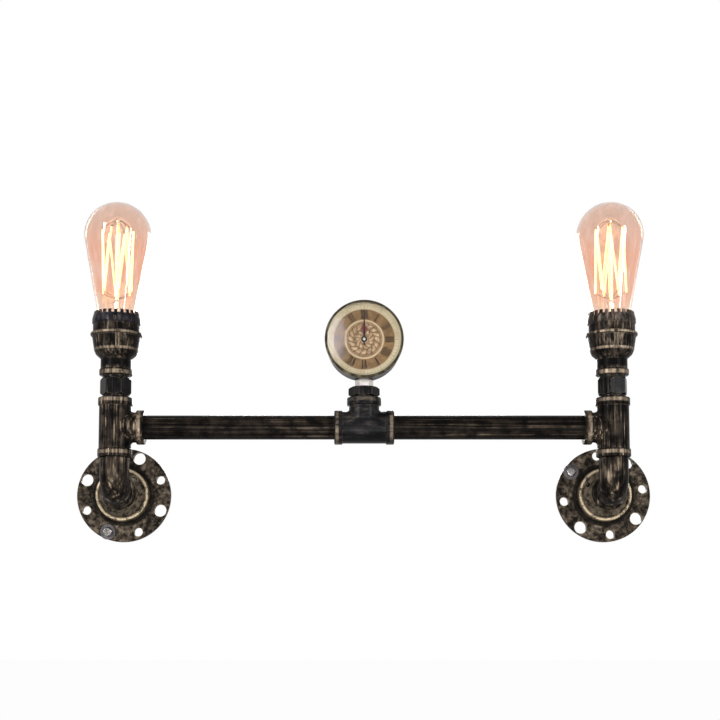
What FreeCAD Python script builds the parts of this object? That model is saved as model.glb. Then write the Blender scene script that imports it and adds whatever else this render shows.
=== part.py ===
import FreeCAD, Part
import math
import os

# Industrial pipe wall light: two wall flanges carry elbows, tees and upright lamp holders with
# filament bulbs, and a half inch pipe between the tees carries a small round clock on its middle tee.
#
# Millimetres. +X is to the right and +Z is up for someone who faces the wall; the wall is the plane
# y = 0 and the lamp stands out of it along -Y. The origin lies on the wall, midway between the
# flanges, at the height of their axes.

V = FreeCAD.Vector
UP = V(0, 0, 1)

# ---------------------------------------------------------------- overall layout
arm_spacing = 440.0
standoff = 55.0
run_height = 56.0

# ---------------------------------------------------------------- pipe and fittings
pipe_od = 21.3
pipe_wall = 2.6
thread_gap = 0.05
thread_engagement = 13.0
fitting_half = 26.4
fitting_wall = 3.5
fitting_branch_step = 0.8
fitting_collar = 1.0
fitting_collar_length = 7.2
fitting_edge = 1.1
fitting_blend = 2.5
fitting_waist_play = 0.6
elbow_wall = 2.2
elbow_bend_r = 15.0
hex_land = 1.35

pipe_r = pipe_od / 2
pipe_bore_r = pipe_r - pipe_wall
socket_r = pipe_r + thread_gap
fitting_body_r = socket_r + fitting_wall
fitting_branch_r = fitting_body_r - fitting_branch_step
fitting_collar_r = fitting_body_r + fitting_collar
fitting_bore_r = pipe_bore_r + fitting_waist_play
elbow_body_r = socket_r + elbow_wall
fitting_hex_af = 2 * (pipe_r + hex_land)
fitting_seat = fitting_half - thread_engagement

# ---------------------------------------------------------------- wall flange
flange_od = 86.0
flange_plate = 5.0
flange_edge = 0.9
wiring_space_r = 21.0
wiring_space_depth = 10.5
boss_wall = 4.6
boss_draft = 1.7
boss_rim_height = 16.0
boss_rim_width = 2.2
boss_rim_lip = 0.9
hub_wall = 4.9
hub_cone_rise = 5.5
hub_collar = 2.4
large_hole_r = 5.5
small_hole_r = 3.9
hole_rim = 1.0
hole_count = 4
left_large_hole_angle = 67.4
right_large_hole_angle = 54.0
left_screw_hole = 2
right_screw_hole = 1

flange_r = flange_od / 2
hole_circle = flange_od - 2 * (large_hole_r + hole_rim)
boss_base_r = wiring_space_r + boss_wall
boss_rim_r = boss_base_r - boss_draft
boss_floor_r = boss_rim_r - boss_rim_width
boss_floor = boss_rim_height - boss_rim_lip
hub_r = socket_r + hub_wall
hub_cone_top = boss_floor + hub_cone_rise
hub_height = hub_cone_top + hub_collar

# ---------------------------------------------------------------- fasteners on the flanges
washer_overlap = 1.5
washer_thickness = 1.2
screw_shank_d = 5.0
screw_washer_play = 0.2
screw_head_d = 8.8
screw_head_height = 3.0
screw_length = 30.0
screw_point = 5.0
screw_tip_r = 0.3
screw_recess_width = 1.1
screw_recess_length = 5.4
screw_recess_depth = 1.7
screw_recess_turn = 20.0
set_screw_d = 5.0
set_screw_sink = 1.4
set_screw_key = 2.5
set_screw_key_depth = 2.4
set_screw_tilt = 25.0
left_set_screw_angle = 49.0
right_set_screw_angle = 153.0

washer_r = large_hole_r + washer_overlap
set_screw_mouth_r = (hub_r + boss_floor_r) / 2

# ---------------------------------------------------------------- hexagon nipple under a holder
nipple_gap = 1.8
nipple_hex_length = 16.0
nipple_chamfer = 2.6
nipple_neck_land = 0.75
nipple_neck_length = 1.8
left_nipple_turn = 0.0
right_nipple_turn = 13.0

nipple_hex_bottom = fitting_half + nipple_gap
nipple_hex_top = nipple_hex_bottom + nipple_hex_length
nipple_neck_r = pipe_r + nipple_neck_land
cup_bottom = nipple_hex_top + nipple_neck_length

# ---------------------------------------------------------------- bulb cap, screw shell, insulator
cap_crest_r = 13.2
cap_thread_depth = 0.85
cap_wall = 0.7
cap_pitch = 3.6
cap_turns = 5
cap_skirt = 3.4
cap_seal = 3.4
cap_foot_step = 0.75
cap_play = 0.35
shell_wall = 0.55
shell_gap = 0.1
insulator_wall = 2.7
insulator_foot_step = 5.9
insulator_height = 31.5
insulator_floor = 5.5
insulator_gap = 1.5
shell_rim_step = 1.0

cap_root_r = cap_crest_r - cap_thread_depth
insulator_bore_r = cap_crest_r + cap_play + shell_wall + shell_gap
insulator_r = insulator_bore_r + insulator_wall
insulator_foot_r = insulator_r - insulator_foot_step
shell_r = insulator_bore_r - shell_gap

# ---------------------------------------------------------------- lamp holder cup and crown ring
cup_socket_depth = 11.0
cup_web = 3.5
cup_neck_bead_wall = 3.9
cup_neck_bead_length = 6.0
cup_neck_wall = 2.8
cup_neck_length = 9.0
cup_shoulder_length = 7.6
cup_shoulder_step = 2.0
cup_shoulder_hip = 1.6
cup_belly_wall = 3.0
cup_belly_length = 12.6
cup_bead_proud = 2.1
cup_bead_length = 3.0
cup_band_wall = 2.3
cup_band_length = 7.0
cup_spigot_wall = 1.0
cup_spigot_length = 6.8
cup_cavity_step = 1.4
cup_rib_count = 2
cup_rib_width = 0.9
cup_rib_height = 0.5
cup_rib_pitch = 2.3
left_cup_rib_angle = 12.0
right_cup_rib_angle = 0.0
crown_gap = 0.05
crown_wall = 2.05
crown_waist_step = 0.9
crown_rim_step = 1.6
crown_lip = 0.65
crown_height = 11.6
crown_band = 4.8
crown_foot = 1.6
crown_notches = 24
crown_notch_width = 2.3
crown_notch_depth = 3.2
crown_lug_width = 1.4
crown_lug_length = 3.2
crown_lug_height = 0.5

cup_inner_r = insulator_r + insulator_gap
cup_spigot_r = cup_inner_r + cup_spigot_wall
cup_band_r = cup_inner_r + cup_band_wall
cup_bead_r = cup_band_r + cup_bead_proud
cup_belly_r = cup_inner_r + cup_belly_wall
cup_shoulder_r = cup_belly_r - cup_shoulder_step
cup_neck_r = socket_r + cup_neck_wall
cup_neck_bead_r = socket_r + cup_neck_bead_wall
cup_web_bottom = cup_bottom + cup_socket_depth
cup_web_top = cup_web_bottom + cup_web
cup_neck_bead_top = cup_bottom + cup_neck_bead_length
cup_neck_top = cup_neck_bead_top + cup_neck_length
cup_shoulder_top = cup_neck_top + cup_shoulder_length
cup_belly_top = cup_shoulder_top + cup_belly_length
cup_bead_top = cup_belly_top + cup_bead_length
cup_band_top = cup_bead_top + cup_band_length
cup_spigot_top = cup_band_top + cup_spigot_length
crown_inner_r = cup_spigot_r + crown_gap
crown_r = crown_inner_r + crown_wall
crown_top = cup_band_top + crown_height
crown_mouth_r = crown_inner_r - crown_lip
insulator_top = cup_web_top + insulator_height
insulator_floor_top = cup_web_top + insulator_floor

# ---------------------------------------------------------------- holder tube and centre contact
holder_tube_r = 5.0
holder_tube_wall = 1.1
holder_tube_below = 3.0
holder_tube_above = 3.8
contact_thickness = 0.5
contact_width = 5.0
contact_reach = 10.0
contact_button_r = 2.5
contact_height = 1.7
contact_clearance = 0.3
contact_rivet_r = 1.3

holder_tube_bore_r = holder_tube_r - holder_tube_wall
contact_top = insulator_floor_top + contact_height

# ---------------------------------------------------------------- bulb
bulb_length = 134.7
bulb_r = 29.7
bulb_wall = 0.8
bulb_neck_play = 2.7
bulb_neck_rise = 3.5
bulb_throat_rise = 1.7
bulb_throat_depth = 13.0
tip_r = 4.6
tip_height = 1.3
seal_margin = 0.6
stem_rod_r = 1.5
stem_press_r = 3.6
stem_press_shoulder = 2.5
stem_flare_length = 24.0
stem_flare_hollow = 4.0
stem_flare_edge = 1.2
stem_flare_skirt = 8.0
stem_flare_taper = 2.6
stem_press_length = 8.0
stem_button_r = 2.7
stem_button_length = 3.5
stem_button_shoulder = 0.9
stem_button_drop = 15.2
cage_r = 13.6
cage_lift = 9.0
cage_drop = 24.7
cage_hooks = 6
filament_r = 0.3
support_wire_r = 0.25
support_wire_sink = 0.6
upper_hook_rise = 2.0
lower_hook_rise = 4.0

bulb_tip_level = contact_top + contact_clearance
bulb_top = bulb_tip_level + bulb_length
cap_bottom = bulb_tip_level + cap_seal
cap_thread_top = cap_bottom + cap_turns * cap_pitch
cap_top = cap_thread_top + cap_skirt
bulb_throat_r = cap_root_r - cap_wall - thread_gap
bulb_throat_top = cap_top + bulb_throat_rise
bulb_throat_bottom = cap_top - bulb_throat_depth
bulb_neck_r = crown_mouth_r - bulb_neck_play
bulb_neck_end = bulb_throat_top + bulb_neck_rise
stem_press_bottom = bulb_throat_bottom + stem_flare_length
stem_press_top = stem_press_bottom + stem_press_length
stem_button_top = bulb_top - stem_button_drop
stem_button_bottom = stem_button_top - stem_button_length
cage_bottom = stem_press_top + cage_lift
cage_top = bulb_top - cage_drop

# ---------------------------------------------------------------- bushing, stem and clock case
bushing_gap = 0.9
bushing_hex_length = 8.5
bushing_chamfer = 1.8
stem_hex_af = 14.0
stem_hex_length = 6.4
stem_thread_r = 6.0
stem_shelf = 1.5
stem_engagement = 10.0
stem_bore_r = 2.5
case_r = 33.4
case_depth = 25.0
case_wall = 1.6
case_back_round = 3.0
case_pad_r = 8.1
case_pad_proud = 0.4
case_pad_room = 0.8

bushing_hex_bottom = fitting_half + bushing_gap
bushing_hex_top = bushing_hex_bottom + bushing_hex_length
stem_bottom = bushing_hex_top - stem_engagement
case_seat = bushing_hex_top + stem_hex_length
clock_rise = case_seat + case_pad_proud + case_r
case_inner_r = case_r - case_wall
case_back = -case_depth / 2
case_front = case_depth / 2

# ---------------------------------------------------------------- clock insert
bezel_overhang = 1.2
bezel_thickness = 7.5
bezel_wall = 1.4
bezel_reveal = 0.9
bezel_lip = 0.8
insert_flange = 1.5
insert_spigot_gap = 1.6
insert_depth = 12.0
insert_back_wall = 1.5
insert_snap_gap = 0.05
gasket_width = 3.0
gasket_offset = 0.6
gasket_case_gap = 0.3
dial_gap = 0.2
dial_thickness = 0.8
dial_ring_r = 17.2
dial_ring_width = 1.2
dial_ring_height = 0.3
dial_hole_r = 2.3
lens_gap = 0.1
lens_thickness = 1.4
movement_r = 22.0
movement_gap = 0.1
movement_ledge = 4.0

bezel_r = case_r + bezel_overhang
bezel_inner_r = bezel_r - bezel_wall
bezel_window_r = bezel_inner_r - bezel_reveal
bezel_front = case_front + bezel_thickness
bezel_lip_back = bezel_front - bezel_lip
insert_spigot_r = case_inner_r - insert_spigot_gap
insert_front = case_front + insert_flange
insert_back = case_front - insert_depth
case_pad_inner = insert_spigot_r + case_pad_room
movement_back = insert_back + insert_back_wall
dial_front = insert_front + dial_thickness

# ---------------------------------------------------------------- hands, cell and knob
arbor_r = 0.9
arbor_end_wall = 2.0
running_gap = 0.05
hour_tube_wall = 0.8
hour_tube_length = 6.0
hand_thickness = 0.3
hour_hand_lift = 0.7
hour_hand_length = 14.6
hour_spade_start = 4.6
hour_spade_point = 5.6
hour_spade_half = 3.5
hour_hand_half = 0.7
hand_space = 0.4
minute_hand_length = 26.6
minute_hand_half = 0.75
minute_hand_tip_half = 0.55
minute_hand_point = 6.5
minute_hand_tail = 5.5
hand_hub_r = 2.7
hand_nut_wall = 0.6
hand_nut_height = 0.7
hand_nut_cap = 0.2
cell_r = 5.8
cell_height = 5.4
cell_terminal_step = 1.0
cell_gap = 0.1
cell_x = -10.0
cell_z = 7.0
knob_r = 4.0
knob_thickness = 2.6
knob_gap = 0.3
knob_x = 8.5
knob_z = -6.5
knob_ridges = 18
knob_ridge_r = 0.4
spindle_r = 1.5
spindle_length = 6.0

hour_tube_bore_r = arbor_r + running_gap
hour_tube_r = hour_tube_bore_r + hour_tube_wall
hour_back = dial_front + hour_hand_lift
hour_front = hour_back + hand_thickness
minute_back = hour_front + hand_space
minute_front = minute_back + hand_thickness
arbor_foot = movement_back + arbor_end_wall
hour_tube_foot = hour_front - hour_tube_length

# ---------------------------------------------------------------- lamp leads and their connectors
lead_r = 0.9
lead_bend = 7.0
lead_pair = 1.6
lead_layer = 3.0
lead_drop_bend = 2.0
lead_stub = 3.0
lead_tail = 0.5
lead_below_tube = 9.0
lead_shift = 20.0
connector_width = 7.0
connector_gap = 0.6
connector_height = 8.0
connector_drop = 10.2
connector_proud = 0.8
connector_port_play = 0.15
connector_port_pitch = 2.7
connector_first_port = 2.4
connector_port_depth = 5.0

lead_spread = (connector_width + connector_gap) / 2

arm_x = arm_spacing / 2
arm_y = -standoff
sides = {"left": -1, "right": 1}


# ================================================================ shaping helpers
def outline_face(corners):
    """Face in the XZ plane. Each corner is (radius, height) or (radius, height, rounding)."""
    points = [V(corner[0], 0, corner[1]) for corner in corners]
    rounds = [corner[2] if len(corner) > 2 else 0 for corner in corners]
    starts = []
    ends = []
    middles = []
    for index, point in enumerate(points):
        back = points[index - 1] - point
        ahead = points[(index + 1) % len(points)] - point
        if rounds[index] == 0:
            starts.append(point)
            ends.append(point)
            middles.append(None)
            continue
        back.normalize()
        ahead.normalize()
        half = back.getAngle(ahead) / 2
        inward = back + ahead
        inward.normalize()
        starts.append(point + back * (rounds[index] / math.tan(half)))
        ends.append(point + ahead * (rounds[index] / math.tan(half)))
        middles.append(point + inward * (rounds[index] / math.sin(half) - rounds[index]))
    edges = []
    for index, point in enumerate(points):
        if middles[index] is not None:
            edges.append(Part.Arc(starts[index], middles[index], ends[index]).toShape())
        next_start = starts[(index + 1) % len(points)]
        if (next_start - ends[index]).Length > 1e-6:
            edges.append(Part.LineSegment(ends[index], next_start).toShape())
    return Part.Face(Part.Wire(edges))


def turned(corners):
    """Solid of revolution about the Z axis."""
    return outline_face(corners).revolve(V(0, 0, 0), UP, 360)


def tube(outer_r, inner_r, bottom, top):
    """Plain round tube along Z, or a rod where inner_r is 0."""
    body = Part.makeCylinder(outer_r, top - bottom, V(0, 0, bottom))
    if inner_r > 0:
        body = body.cut(Part.makeCylinder(inner_r, top - bottom, V(0, 0, bottom)))
    return body


def hexagon(across_flats, bottom, top, chamfer, turn=0):
    """Hexagonal bar along Z with a flat to the front, turned by an angle, its ends chamfered."""
    corner_r = across_flats / math.sqrt(3)
    points = []
    for step in range(7):
        angle = math.radians(60 * step + turn)
        points.append(V(corner_r * math.cos(angle), corner_r * math.sin(angle), bottom))
    bar = Part.Face(Part.makePolygon(points)).extrude(V(0, 0, top - bottom))
    waist_r = corner_r * 1.02
    end_r = across_flats / 2 * 0.96
    envelope = turned([(0, bottom), (end_r, bottom), (waist_r, bottom + chamfer),
                       (waist_r, top - chamfer), (end_r, top), (0, top)])
    return bar.common(envelope)


def moved(shape, x, y, z):
    """Copy of a shape, shifted."""
    copy = shape.copy()
    copy.translate(V(x, y, z))
    return copy


def spun(shape, angle):
    """Copy of a shape, turned about the Z axis by an angle in degrees."""
    copy = shape.copy()
    copy.rotate(V(0, 0, 0), UP, angle)
    return copy


def facing_forward(shape):
    """Copy of a shape whose +Z now points out of the wall."""
    copy = shape.copy()
    copy.rotate(V(0, 0, 0), V(1, 0, 0), 90)
    return copy


def facing_side(shape, sign):
    """Copy of a shape whose +Z now points along +X or -X."""
    copy = shape.copy()
    copy.rotate(V(0, 0, 0), V(0, 1, 0), 90 * sign)
    return copy


def on_arm(shape, sign):
    """Places a shape made about an arm's axis, its heights counted from the pipe's axis."""
    return moved(shape, sign * arm_x, arm_y, run_height)


def on_clock(shape):
    """Places a shape made about the clock's axis, +Z forward, counted from the stem's plane."""
    return moved(facing_forward(shape), 0, arm_y, run_height + clock_rise)


def rod_between(start, end, radius):
    """Round rod between two points."""
    along = end - start
    return Part.makeCylinder(radius, along.Length, start, along)


def swept_lead(points, radius, bends):
    """Round wire along straight runs; bends gives the radius of the arc at each inner point."""
    edges = []
    start = points[0]
    for index in range(1, len(points) - 1):
        back = points[index - 1] - points[index]
        ahead = points[index + 1] - points[index]
        back.normalize()
        ahead.normalize()
        half = back.getAngle(ahead) / 2
        bend = bends[index - 1]
        reach = bend / math.tan(half)
        inward = back + ahead
        inward.normalize()
        enter = points[index] + back * reach
        leave = points[index] + ahead * reach
        middle = points[index] + inward * (bend / math.sin(half) - bend)
        edges.append(Part.LineSegment(start, enter).toShape())
        edges.append(Part.Arc(enter, middle, leave).toShape())
        start = leave
    edges.append(Part.LineSegment(start, points[-1]).toShape())
    circle = Part.makeCircle(radius, points[0], points[1] - points[0])
    return Part.Wire(edges).makePipeShell([Part.Wire([circle])], True, False)


def save(node, shape):
    """Writes one node and prints its volume."""
    shape.exportStep("parts/" + node + ".step")
    print(node, len(shape.Solids), round(shape.Volume, 1), shape.isValid())


# ================================================================ wall flange and its fasteners
def hole_position(angle):
    """Centre of a hole of the flange's hole circle, in the flange's own plane."""
    return V(hole_circle / 2 * math.cos(math.radians(angle)),
             hole_circle / 2 * math.sin(math.radians(angle)), 0)


def on_flange(shape, sign):
    """Places a shape made about a flange's axis: +X right, +Y up the wall, +Z out of it."""
    return moved(facing_forward(shape), sign * arm_x, 0, 0)


def set_screw_frame(shape, angle):
    """Lays a shape made along +Z on the set screw's line, its origin half way up the hub's cone."""
    tilted = shape.copy()
    tilted.rotate(V(0, 0, 0), V(0, 1, 0), 90 - set_screw_tilt)
    return spun(moved(tilted, set_screw_mouth_r, 0, (boss_floor + hub_cone_top) / 2), angle)


def wall_flange(large_angle, set_angle):
    """Cast disc with a drafted boss, a rounded rim, a conical hub and a wiring space behind."""
    body = turned([
        (socket_r, wiring_space_depth),
        (socket_r, hub_height),
        (hub_r, hub_height, 0.8),
        (hub_r, hub_cone_top),
        (boss_floor_r, boss_floor),
        (boss_floor_r, boss_rim_height, 0.4),
        (boss_rim_r, boss_rim_height, 1.3),
        (boss_base_r, flange_plate, 1.5),
        (flange_r, flange_plate, flange_edge),
        (flange_r, 0),
        (wiring_space_r, 0),
        (wiring_space_r, wiring_space_depth, 1.0),
    ])
    for step in range(hole_count):
        pitch = 360 / hole_count
        large = hole_position(large_angle + step * pitch)
        small = hole_position(large_angle + (step + 0.5) * pitch)
        body = body.cut(Part.makeCylinder(large_hole_r, flange_plate, large))
        body = body.cut(Part.makeCylinder(small_hole_r, flange_plate, small))
    drill = Part.makeCylinder(set_screw_d / 2 + thread_gap, flange_r, V(0, 0, -set_screw_reach()))
    return body.cut(set_screw_frame(drill, set_angle))


def set_screw_reach():
    """Distance along the set screw's line from the cone's surface to where its end meets the nipple."""
    tilt = math.radians(set_screw_tilt)
    return (set_screw_mouth_r - pipe_r) / math.cos(tilt) - set_screw_d / 2 * math.tan(tilt)


def set_screw():
    """Socket set screw: it starts below the hub's surface and stops on the nipple."""
    reach = set_screw_reach()
    body = Part.makeCylinder(set_screw_d / 2, reach - set_screw_sink, V(0, 0, -reach))
    key = hexagon(set_screw_key, -set_screw_sink - set_screw_key_depth, 0, 0.01)
    return body.cut(key)


def wall_screw():
    """Pan head wood screw with a cross recess, standing on its washer, pointing into the wall."""
    seat = flange_plate + washer_thickness
    head_top = seat + screw_head_height
    shank_r = screw_shank_d / 2
    tip = seat - screw_length
    body = turned([
        (0, head_top),
        (screw_head_d / 2, head_top, 1.6),
        (screw_head_d / 2, seat, 0.2),
        (shank_r, seat),
        (shank_r, tip + screw_point),
        (screw_tip_r, tip),
        (0, tip),
    ])
    for angle in (0, 90):
        corner = V(-screw_recess_length / 2, -screw_recess_width / 2, head_top - screw_recess_depth)
        slot = Part.makeBox(screw_recess_length, screw_recess_width, screw_recess_depth, corner)
        body = body.cut(spun(slot, angle + screw_recess_turn))
    return body


def washer():
    """Plain washer on the flange's front face."""
    return tube(washer_r, screw_shank_d / 2 + screw_washer_play, flange_plate,
                flange_plate + washer_thickness)


# ================================================================ pipe fittings
def fitting_leg(body_r, length):
    """Solid leg of a fitting from the centre to its collar, along +Z."""
    collar_start = length - fitting_collar_length
    return turned([
        (0, 0),
        (body_r, 0),
        (body_r, collar_start, 0.6),
        (fitting_collar_r, collar_start, fitting_edge),
        (fitting_collar_r, length, fitting_edge),
        (0, length),
    ])


def fitting_bores(length, bore_r):
    """Socket and waist bore of one leg, along +Z."""
    socket = tube(socket_r, 0, length - thread_engagement, length)
    return socket.fuse(tube(bore_r, 0, 0, length))


def tee():
    """Tee with its run along Z and its branch along +X."""
    run = fitting_leg(fitting_body_r, fitting_half)
    lower = run.copy()
    lower.rotate(V(0, 0, 0), V(1, 0, 0), 180)
    branch = facing_side(fitting_leg(fitting_branch_r, fitting_half), 1)
    body = run.fuse([lower, branch]).removeSplitter()
    saddle = [edge for edge in body.Edges if isinstance(edge.Curve, Part.BSplineCurve)]
    body = body.makeFillet(fitting_blend, saddle)
    bores = fitting_bores(fitting_half, fitting_bore_r)
    lower_bores = bores.copy()
    lower_bores.rotate(V(0, 0, 0), V(1, 0, 0), 180)
    return body.cut(bores).cut(lower_bores).cut(facing_side(bores, 1))


def street_elbow():
    """Elbow with a threaded spigot up into the tee and a socket towards the wall.
    Made with its corner at the origin: the spigot points up, the socket along +Y."""
    bend_centre = V(0, elbow_bend_r, elbow_bend_r)
    spigot_top = run_height - fitting_seat
    neck_top = run_height - fitting_half

    def bent(radius):
        disc = Part.Face(Part.Wire([Part.makeCircle(radius, V(0, 0, elbow_bend_r), UP)]))
        return disc.revolve(bend_centre, V(1, 0, 0), 90)

    leg = turned([
        (0, elbow_bend_r),
        (elbow_body_r, elbow_bend_r),
        (elbow_body_r, neck_top, 1.2),
        (pipe_r, neck_top),
        (pipe_r, spigot_top, 0.6),
        (0, spigot_top),
    ])
    collar_start = fitting_half - fitting_collar_length
    socket_leg = turned([
        (0, elbow_bend_r),
        (elbow_body_r, elbow_bend_r),
        (elbow_body_r, collar_start, 0.6),
        (fitting_collar_r, collar_start, fitting_edge),
        (fitting_collar_r, fitting_half, fitting_edge),
        (0, fitting_half),
    ])
    socket_leg.rotate(V(0, 0, 0), V(1, 0, 0), -90)
    body = leg.fuse([bent(elbow_body_r), socket_leg]).removeSplitter()
    bore = tube(pipe_bore_r, 0, elbow_bend_r, spigot_top).fuse(bent(pipe_bore_r))
    wall_bore = tube(pipe_bore_r, 0, elbow_bend_r, fitting_half)
    wall_bore = wall_bore.fuse(tube(socket_r, 0, fitting_seat, fitting_half))
    wall_bore.rotate(V(0, 0, 0), V(1, 0, 0), -90)
    return body.cut(bore).cut(wall_bore)


def flange_nipple():
    """Short nipple from the elbow's socket to the roof of the flange's wiring space, along +Z."""
    return tube(pipe_r, pipe_bore_r, wiring_space_depth, standoff - fitting_seat)


def long_pipe():
    """Pipe from a side tee to the centre tee, along +X from the left tee's seat."""
    first = -arm_x + fitting_seat
    length = -fitting_seat - first
    return moved(facing_side(tube(pipe_r, pipe_bore_r, 0, length), 1), first, 0, 0)


def hex_nipple(turn):
    """Hexagon nipple between a tee and a holder cup."""
    body = hexagon(fitting_hex_af, nipple_hex_bottom, nipple_hex_top, nipple_chamfer, turn)
    lower = tube(pipe_r, 0, fitting_seat, nipple_hex_bottom)
    neck = tube(nipple_neck_r, 0, nipple_hex_top, cup_bottom)
    upper = tube(pipe_r, 0, cup_bottom, cup_web_bottom)
    body = body.fuse([lower, neck, upper]).removeSplitter()
    return body.cut(tube(pipe_bore_r, 0, fitting_seat, cup_web_bottom))


# ================================================================ lamp holder
def holder_cup(rib_angle):
    """Turned cup: neck bead, neck, shoulder, belly, bead, band and a spigot for the crown ring."""
    cavity_foot_r = insulator_foot_r + insulator_gap / 3
    cavity_knee = cup_shoulder_top + cup_cavity_step
    hip_height = cup_neck_top + cup_shoulder_length / 2
    body = turned([
        (socket_r, cup_bottom),
        (cup_neck_bead_r, cup_bottom, 1.4),
        (cup_neck_bead_r, cup_neck_bead_top, 1.4),
        (cup_neck_r, cup_neck_bead_top, 0.3),
        (cup_neck_r, cup_neck_top, 0.5),
        (cup_shoulder_r - cup_shoulder_hip, hip_height, 3.0),
        (cup_shoulder_r, cup_shoulder_top, 0.5),
        (cup_belly_r, cup_belly_top, 0.3),
        (cup_bead_r, cup_belly_top, 1.1),
        (cup_bead_r, cup_bead_top, 1.1),
        (cup_band_r, cup_bead_top, 0.3),
        (cup_band_r, cup_band_top, 0.6),
        (cup_spigot_r, cup_band_top),
        (cup_spigot_r, cup_spigot_top, 0.3),
        (cup_inner_r, cup_spigot_top),
        (cup_inner_r, cavity_knee, 2.0),
        (cavity_foot_r, cup_web_top),
        (holder_tube_r + thread_gap, cup_web_top),
        (holder_tube_r + thread_gap, cup_web_bottom),
        (socket_r, cup_web_bottom),
    ])
    ribs = []
    for index in range(cup_rib_count):
        offset = (index - (cup_rib_count - 1) / 2) * cup_rib_pitch
        depth = cup_belly_wall - cup_shoulder_step / 2 + cup_rib_height
        rib = Part.makeBox(cup_rib_width, depth, cup_belly_length,
                           V(offset - cup_rib_width / 2, -cup_belly_r - cup_rib_height, cup_shoulder_top))
        ribs.append(spun(rib, rib_angle))
    return body.fuse(ribs).removeSplitter()


def crown_ring(rib_angle):
    """Ring screwed on the cup's spigot, with a notched crown and a small lug in front."""
    body = turned([
        (crown_inner_r, cup_band_top),
        (crown_r - crown_waist_step, cup_band_top, 0.4),
        (crown_r, cup_band_top + crown_foot, 0.8),
        (crown_r, cup_band_top + crown_band, 1.5),
        (crown_r - crown_rim_step, crown_top, 0.4),
        (crown_mouth_r, crown_top),
        (crown_mouth_r, cup_spigot_top),
        (crown_inner_r, cup_spigot_top),
    ])
    notch = Part.makeBox(crown_notch_width, crown_r, crown_notch_depth,
                         V(-crown_notch_width / 2, -crown_r, crown_top - crown_notch_depth))
    for index in range(crown_notches):
        body = body.cut(spun(notch, index * 360 / crown_notches))
    lug_start = cup_band_top + (crown_band - crown_lug_length + crown_foot) / 2
    lug = Part.makeBox(crown_lug_width, crown_wall, crown_lug_length,
                       V(-crown_lug_width / 2, -crown_r - crown_lug_height, lug_start))
    return body.fuse(spun(lug, rib_angle / 2)).removeSplitter()


def holder_tube():
    """Threaded tube that ties the insulator to the cup's web and carries the leads."""
    return tube(holder_tube_r, holder_tube_bore_r, cup_web_bottom - holder_tube_below,
                cup_web_top + holder_tube_above)


def lamp_insulator():
    """Ceramic core of the holder, standing on the cup's web."""
    tube_r = holder_tube_r + thread_gap
    return turned([
        (tube_r, cup_web_top),
        (insulator_foot_r, cup_web_top, 0.6),
        (insulator_r, cup_shoulder_top + cup_cavity_step + 0.8, 1.0),
        (insulator_r, insulator_top, 0.8),
        (insulator_bore_r, insulator_top),
        (insulator_bore_r, insulator_floor_top),
        (holder_tube_bore_r, insulator_floor_top),
        (holder_tube_bore_r, cup_web_top + holder_tube_above),
        (tube_r, cup_web_top + holder_tube_above),
    ])


def screw_shell():
    """Thin brass shell that takes the bulb's cap, lining the insulator."""
    return tube(shell_r, shell_r - shell_wall, insulator_floor_top, insulator_top - shell_rim_step)


def centre_contact():
    """Brass tongue across the insulator's floor with a raised button under the bulb's tip."""
    strip = Part.makeBox(contact_reach + contact_width / 2, contact_width, contact_thickness,
                         V(-contact_width / 2, -contact_width / 2, insulator_floor_top))
    button = tube(contact_button_r, 0, insulator_floor_top, contact_top)
    rivet = tube(contact_rivet_r, 0, insulator_floor_top, insulator_floor_top + 2 * contact_thickness)
    rivet = moved(rivet, contact_reach - contact_width / 2, 0, 0)
    return strip.fuse([button, rivet]).removeSplitter()


# ================================================================ bulb
def bulb_blank(inset):
    """Envelope's solid form, inset by a wall: a ball, a tangent cone and a throat."""
    centre = bulb_top - bulb_r
    ball_r = bulb_r - inset
    neck_r = bulb_neck_r - inset
    neck_drop = centre - bulb_neck_end
    lean = math.asin(ball_r / math.hypot(neck_r, neck_drop)) - math.atan2(neck_r, neck_drop)
    tangent_r = ball_r * math.cos(lean)
    tangent_z = centre - ball_r * math.sin(lean)
    throat_r = bulb_throat_r - inset
    pole = V(0, 0, centre + ball_r)
    shoulder = V(ball_r * math.cos(math.pi / 4), 0, centre + ball_r * math.sin(math.pi / 4))
    tangent = V(tangent_r, 0, tangent_z)
    corner = outline_face([
        (0, tangent_z),
        (tangent_r, tangent_z),
        (neck_r, bulb_neck_end, 3.0),
        (throat_r, bulb_throat_top, 1.2),
        (throat_r, bulb_throat_bottom),
        (0, bulb_throat_bottom),
    ])
    dome = Part.Face(Part.Wire([
        Part.Arc(pole, shoulder, tangent).toShape(),
        Part.LineSegment(tangent, V(0, 0, tangent_z)).toShape(),
        Part.LineSegment(V(0, 0, tangent_z), pole).toShape(),
    ]))
    lower = corner.revolve(V(0, 0, 0), UP, 360)
    upper = dome.revolve(V(0, 0, 0), UP, 360)
    return lower.fuse(upper).removeSplitter()


def bulb_glass():
    """Blown glass envelope, open at the bottom of its throat."""
    return bulb_blank(0).cut(bulb_blank(bulb_wall))


def bulb_cap():
    """Rolled screw cap, its thread drawn as rounded rings."""
    inner_r = bulb_throat_r + thread_gap
    corners = [(inner_r, cap_bottom)]
    for turn in range(cap_turns):
        low = cap_bottom + turn * cap_pitch
        corners.append((cap_root_r, low, 0.3 if turn else 0))
        corners.append((cap_crest_r, low + cap_pitch / 4, 0.3))
        corners.append((cap_crest_r, low + cap_pitch * 3 / 4, 0.3))
    corners.append((cap_root_r, cap_thread_top, 0.3))
    corners.append((cap_crest_r, cap_thread_top + cap_pitch / 4, 0.3))
    corners.append((cap_crest_r, cap_top, 0.2))
    corners.append((inner_r, cap_top))
    return turned(corners)


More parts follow.
